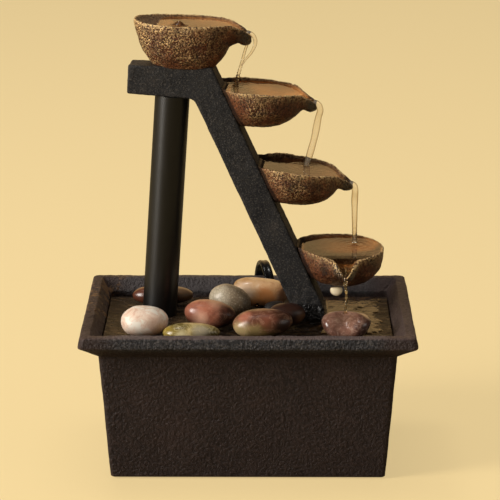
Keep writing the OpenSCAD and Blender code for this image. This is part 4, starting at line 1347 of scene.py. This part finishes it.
for name, (facts, nodes) in PLAIN_PARTS.items():
    paint = plain_paint(name, *facts)
    for node in nodes:
        coat(bpy.data.objects[node], paint)
    if name == "cord_vinyl":
        dress(lead, paint, BASIN)
SPECIAL_PARTS = {"riser_tube": tube_paint, "pump_core": laminated_paint, "pump_coil": winding_paint}
for node, make_paint in SPECIAL_PARTS.items():
    coat(bpy.data.objects[node], make_paint())

# ---------- floor, light and background ----------

CREAM = srgb("#e7cd96")
FLOOR_RADIUS = 9


def make_stage():
    p = Paint("floor")
    path = p.node("LightPath").outputs
    seen = p.times(p.math("MAXIMUM", path["Is Camera Ray"], path["Is Transmission Ray"]), 0.76)
    seen = p.add(seen, p.times(path["Is Glossy Ray"], 0.06))
    p.surface(Base_Color=tuple(0.38 * c for c in CREAM), Roughness=1.0, Specular_IOR_Level=0.0,
              Emission_Color=CREAM, Emission_Strength=seen)
    bm = bmesh.new()
    bmesh.ops.create_circle(bm, cap_ends=True, segments=96, radius=FLOOR_RADIUS)
    mesh = bpy.data.meshes.new("floor")
    bm.to_mesh(mesh)
    bm.free()
    floor = link("floor", mesh, False)
    floor.data.materials.append(p.mat)

    world = bpy.data.worlds.new("world")
    scene.world = world
    world.use_nodes = True
    w = Nodes(world.node_tree, "OutputWorld")
    # reflections find the backdrop behind the object and a dimmer room in front of it
    way = w.node("SeparateXYZ", Vector=w.node("TexCoord").outputs["Generated"])
    behind = w.node("MapRange", Value=way.outputs["Y"], From_Min=0.7, From_Max=0.95, To_Min=0.05, To_Max=1.0)
    path = w.node("LightPath").outputs
    shown = w.node("Background", Color=(1.0, 0.965, 0.91), Strength=0.18).outputs["Background"]
    for ray, colour, strength in (("Is Camera Ray", CREAM, 1.0), ("Is Transmission Ray", CREAM, 1.0),
                                  ("Is Glossy Ray", "#e2b87c", behind.outputs["Result"])):
        seen = w.node("Background", Color=colour, Strength=strength)
        shown = w.blend(path[ray], shown, seen.outputs["Background"])
    w.show(shown)


make_stage()

# place, height of the point it looks at, size, power, colour
LAMPS = {
    "key": ((-2.1, -0.85, 1.25), 0.13, (0.7, 1.2), 52, (1.0, 0.96, 0.9)),
    "low": ((-1.6, -0.9, 0.45), 0.13, (0.6, 0.8), 14, (1.0, 0.96, 0.9)),
    "fill": ((2.2, -0.9, 1.0), 0.12, (1.2, 1.2), 4.5, (1.0, 0.95, 0.88)),
    "top": ((0.0, 0.3, 2.2), 0.12, (1.4, 1.2), 13, (1.0, 0.97, 0.92)),
    "strip": ((-0.5, 0.45, 2.0), 0.13, (0.3, 0.5), 5, (1.0, 0.97, 0.92)),
}
for name, (place_at, aim_height, size, power, colour) in LAMPS.items():
    light = bpy.data.lights.new(name, "AREA")
    light.shape = "RECTANGLE"
    light.size, light.size_y = size
    light.energy, light.color = power, colour
    lamp = aimed(light, place_at, Vector((0, 0, aim_height)) - Vector(place_at))
    # the lamp above lights the object but isn't reflected in it
    lamp.visible_glossy = name != "top"
scene.view_settings.view_transform = "Standard"
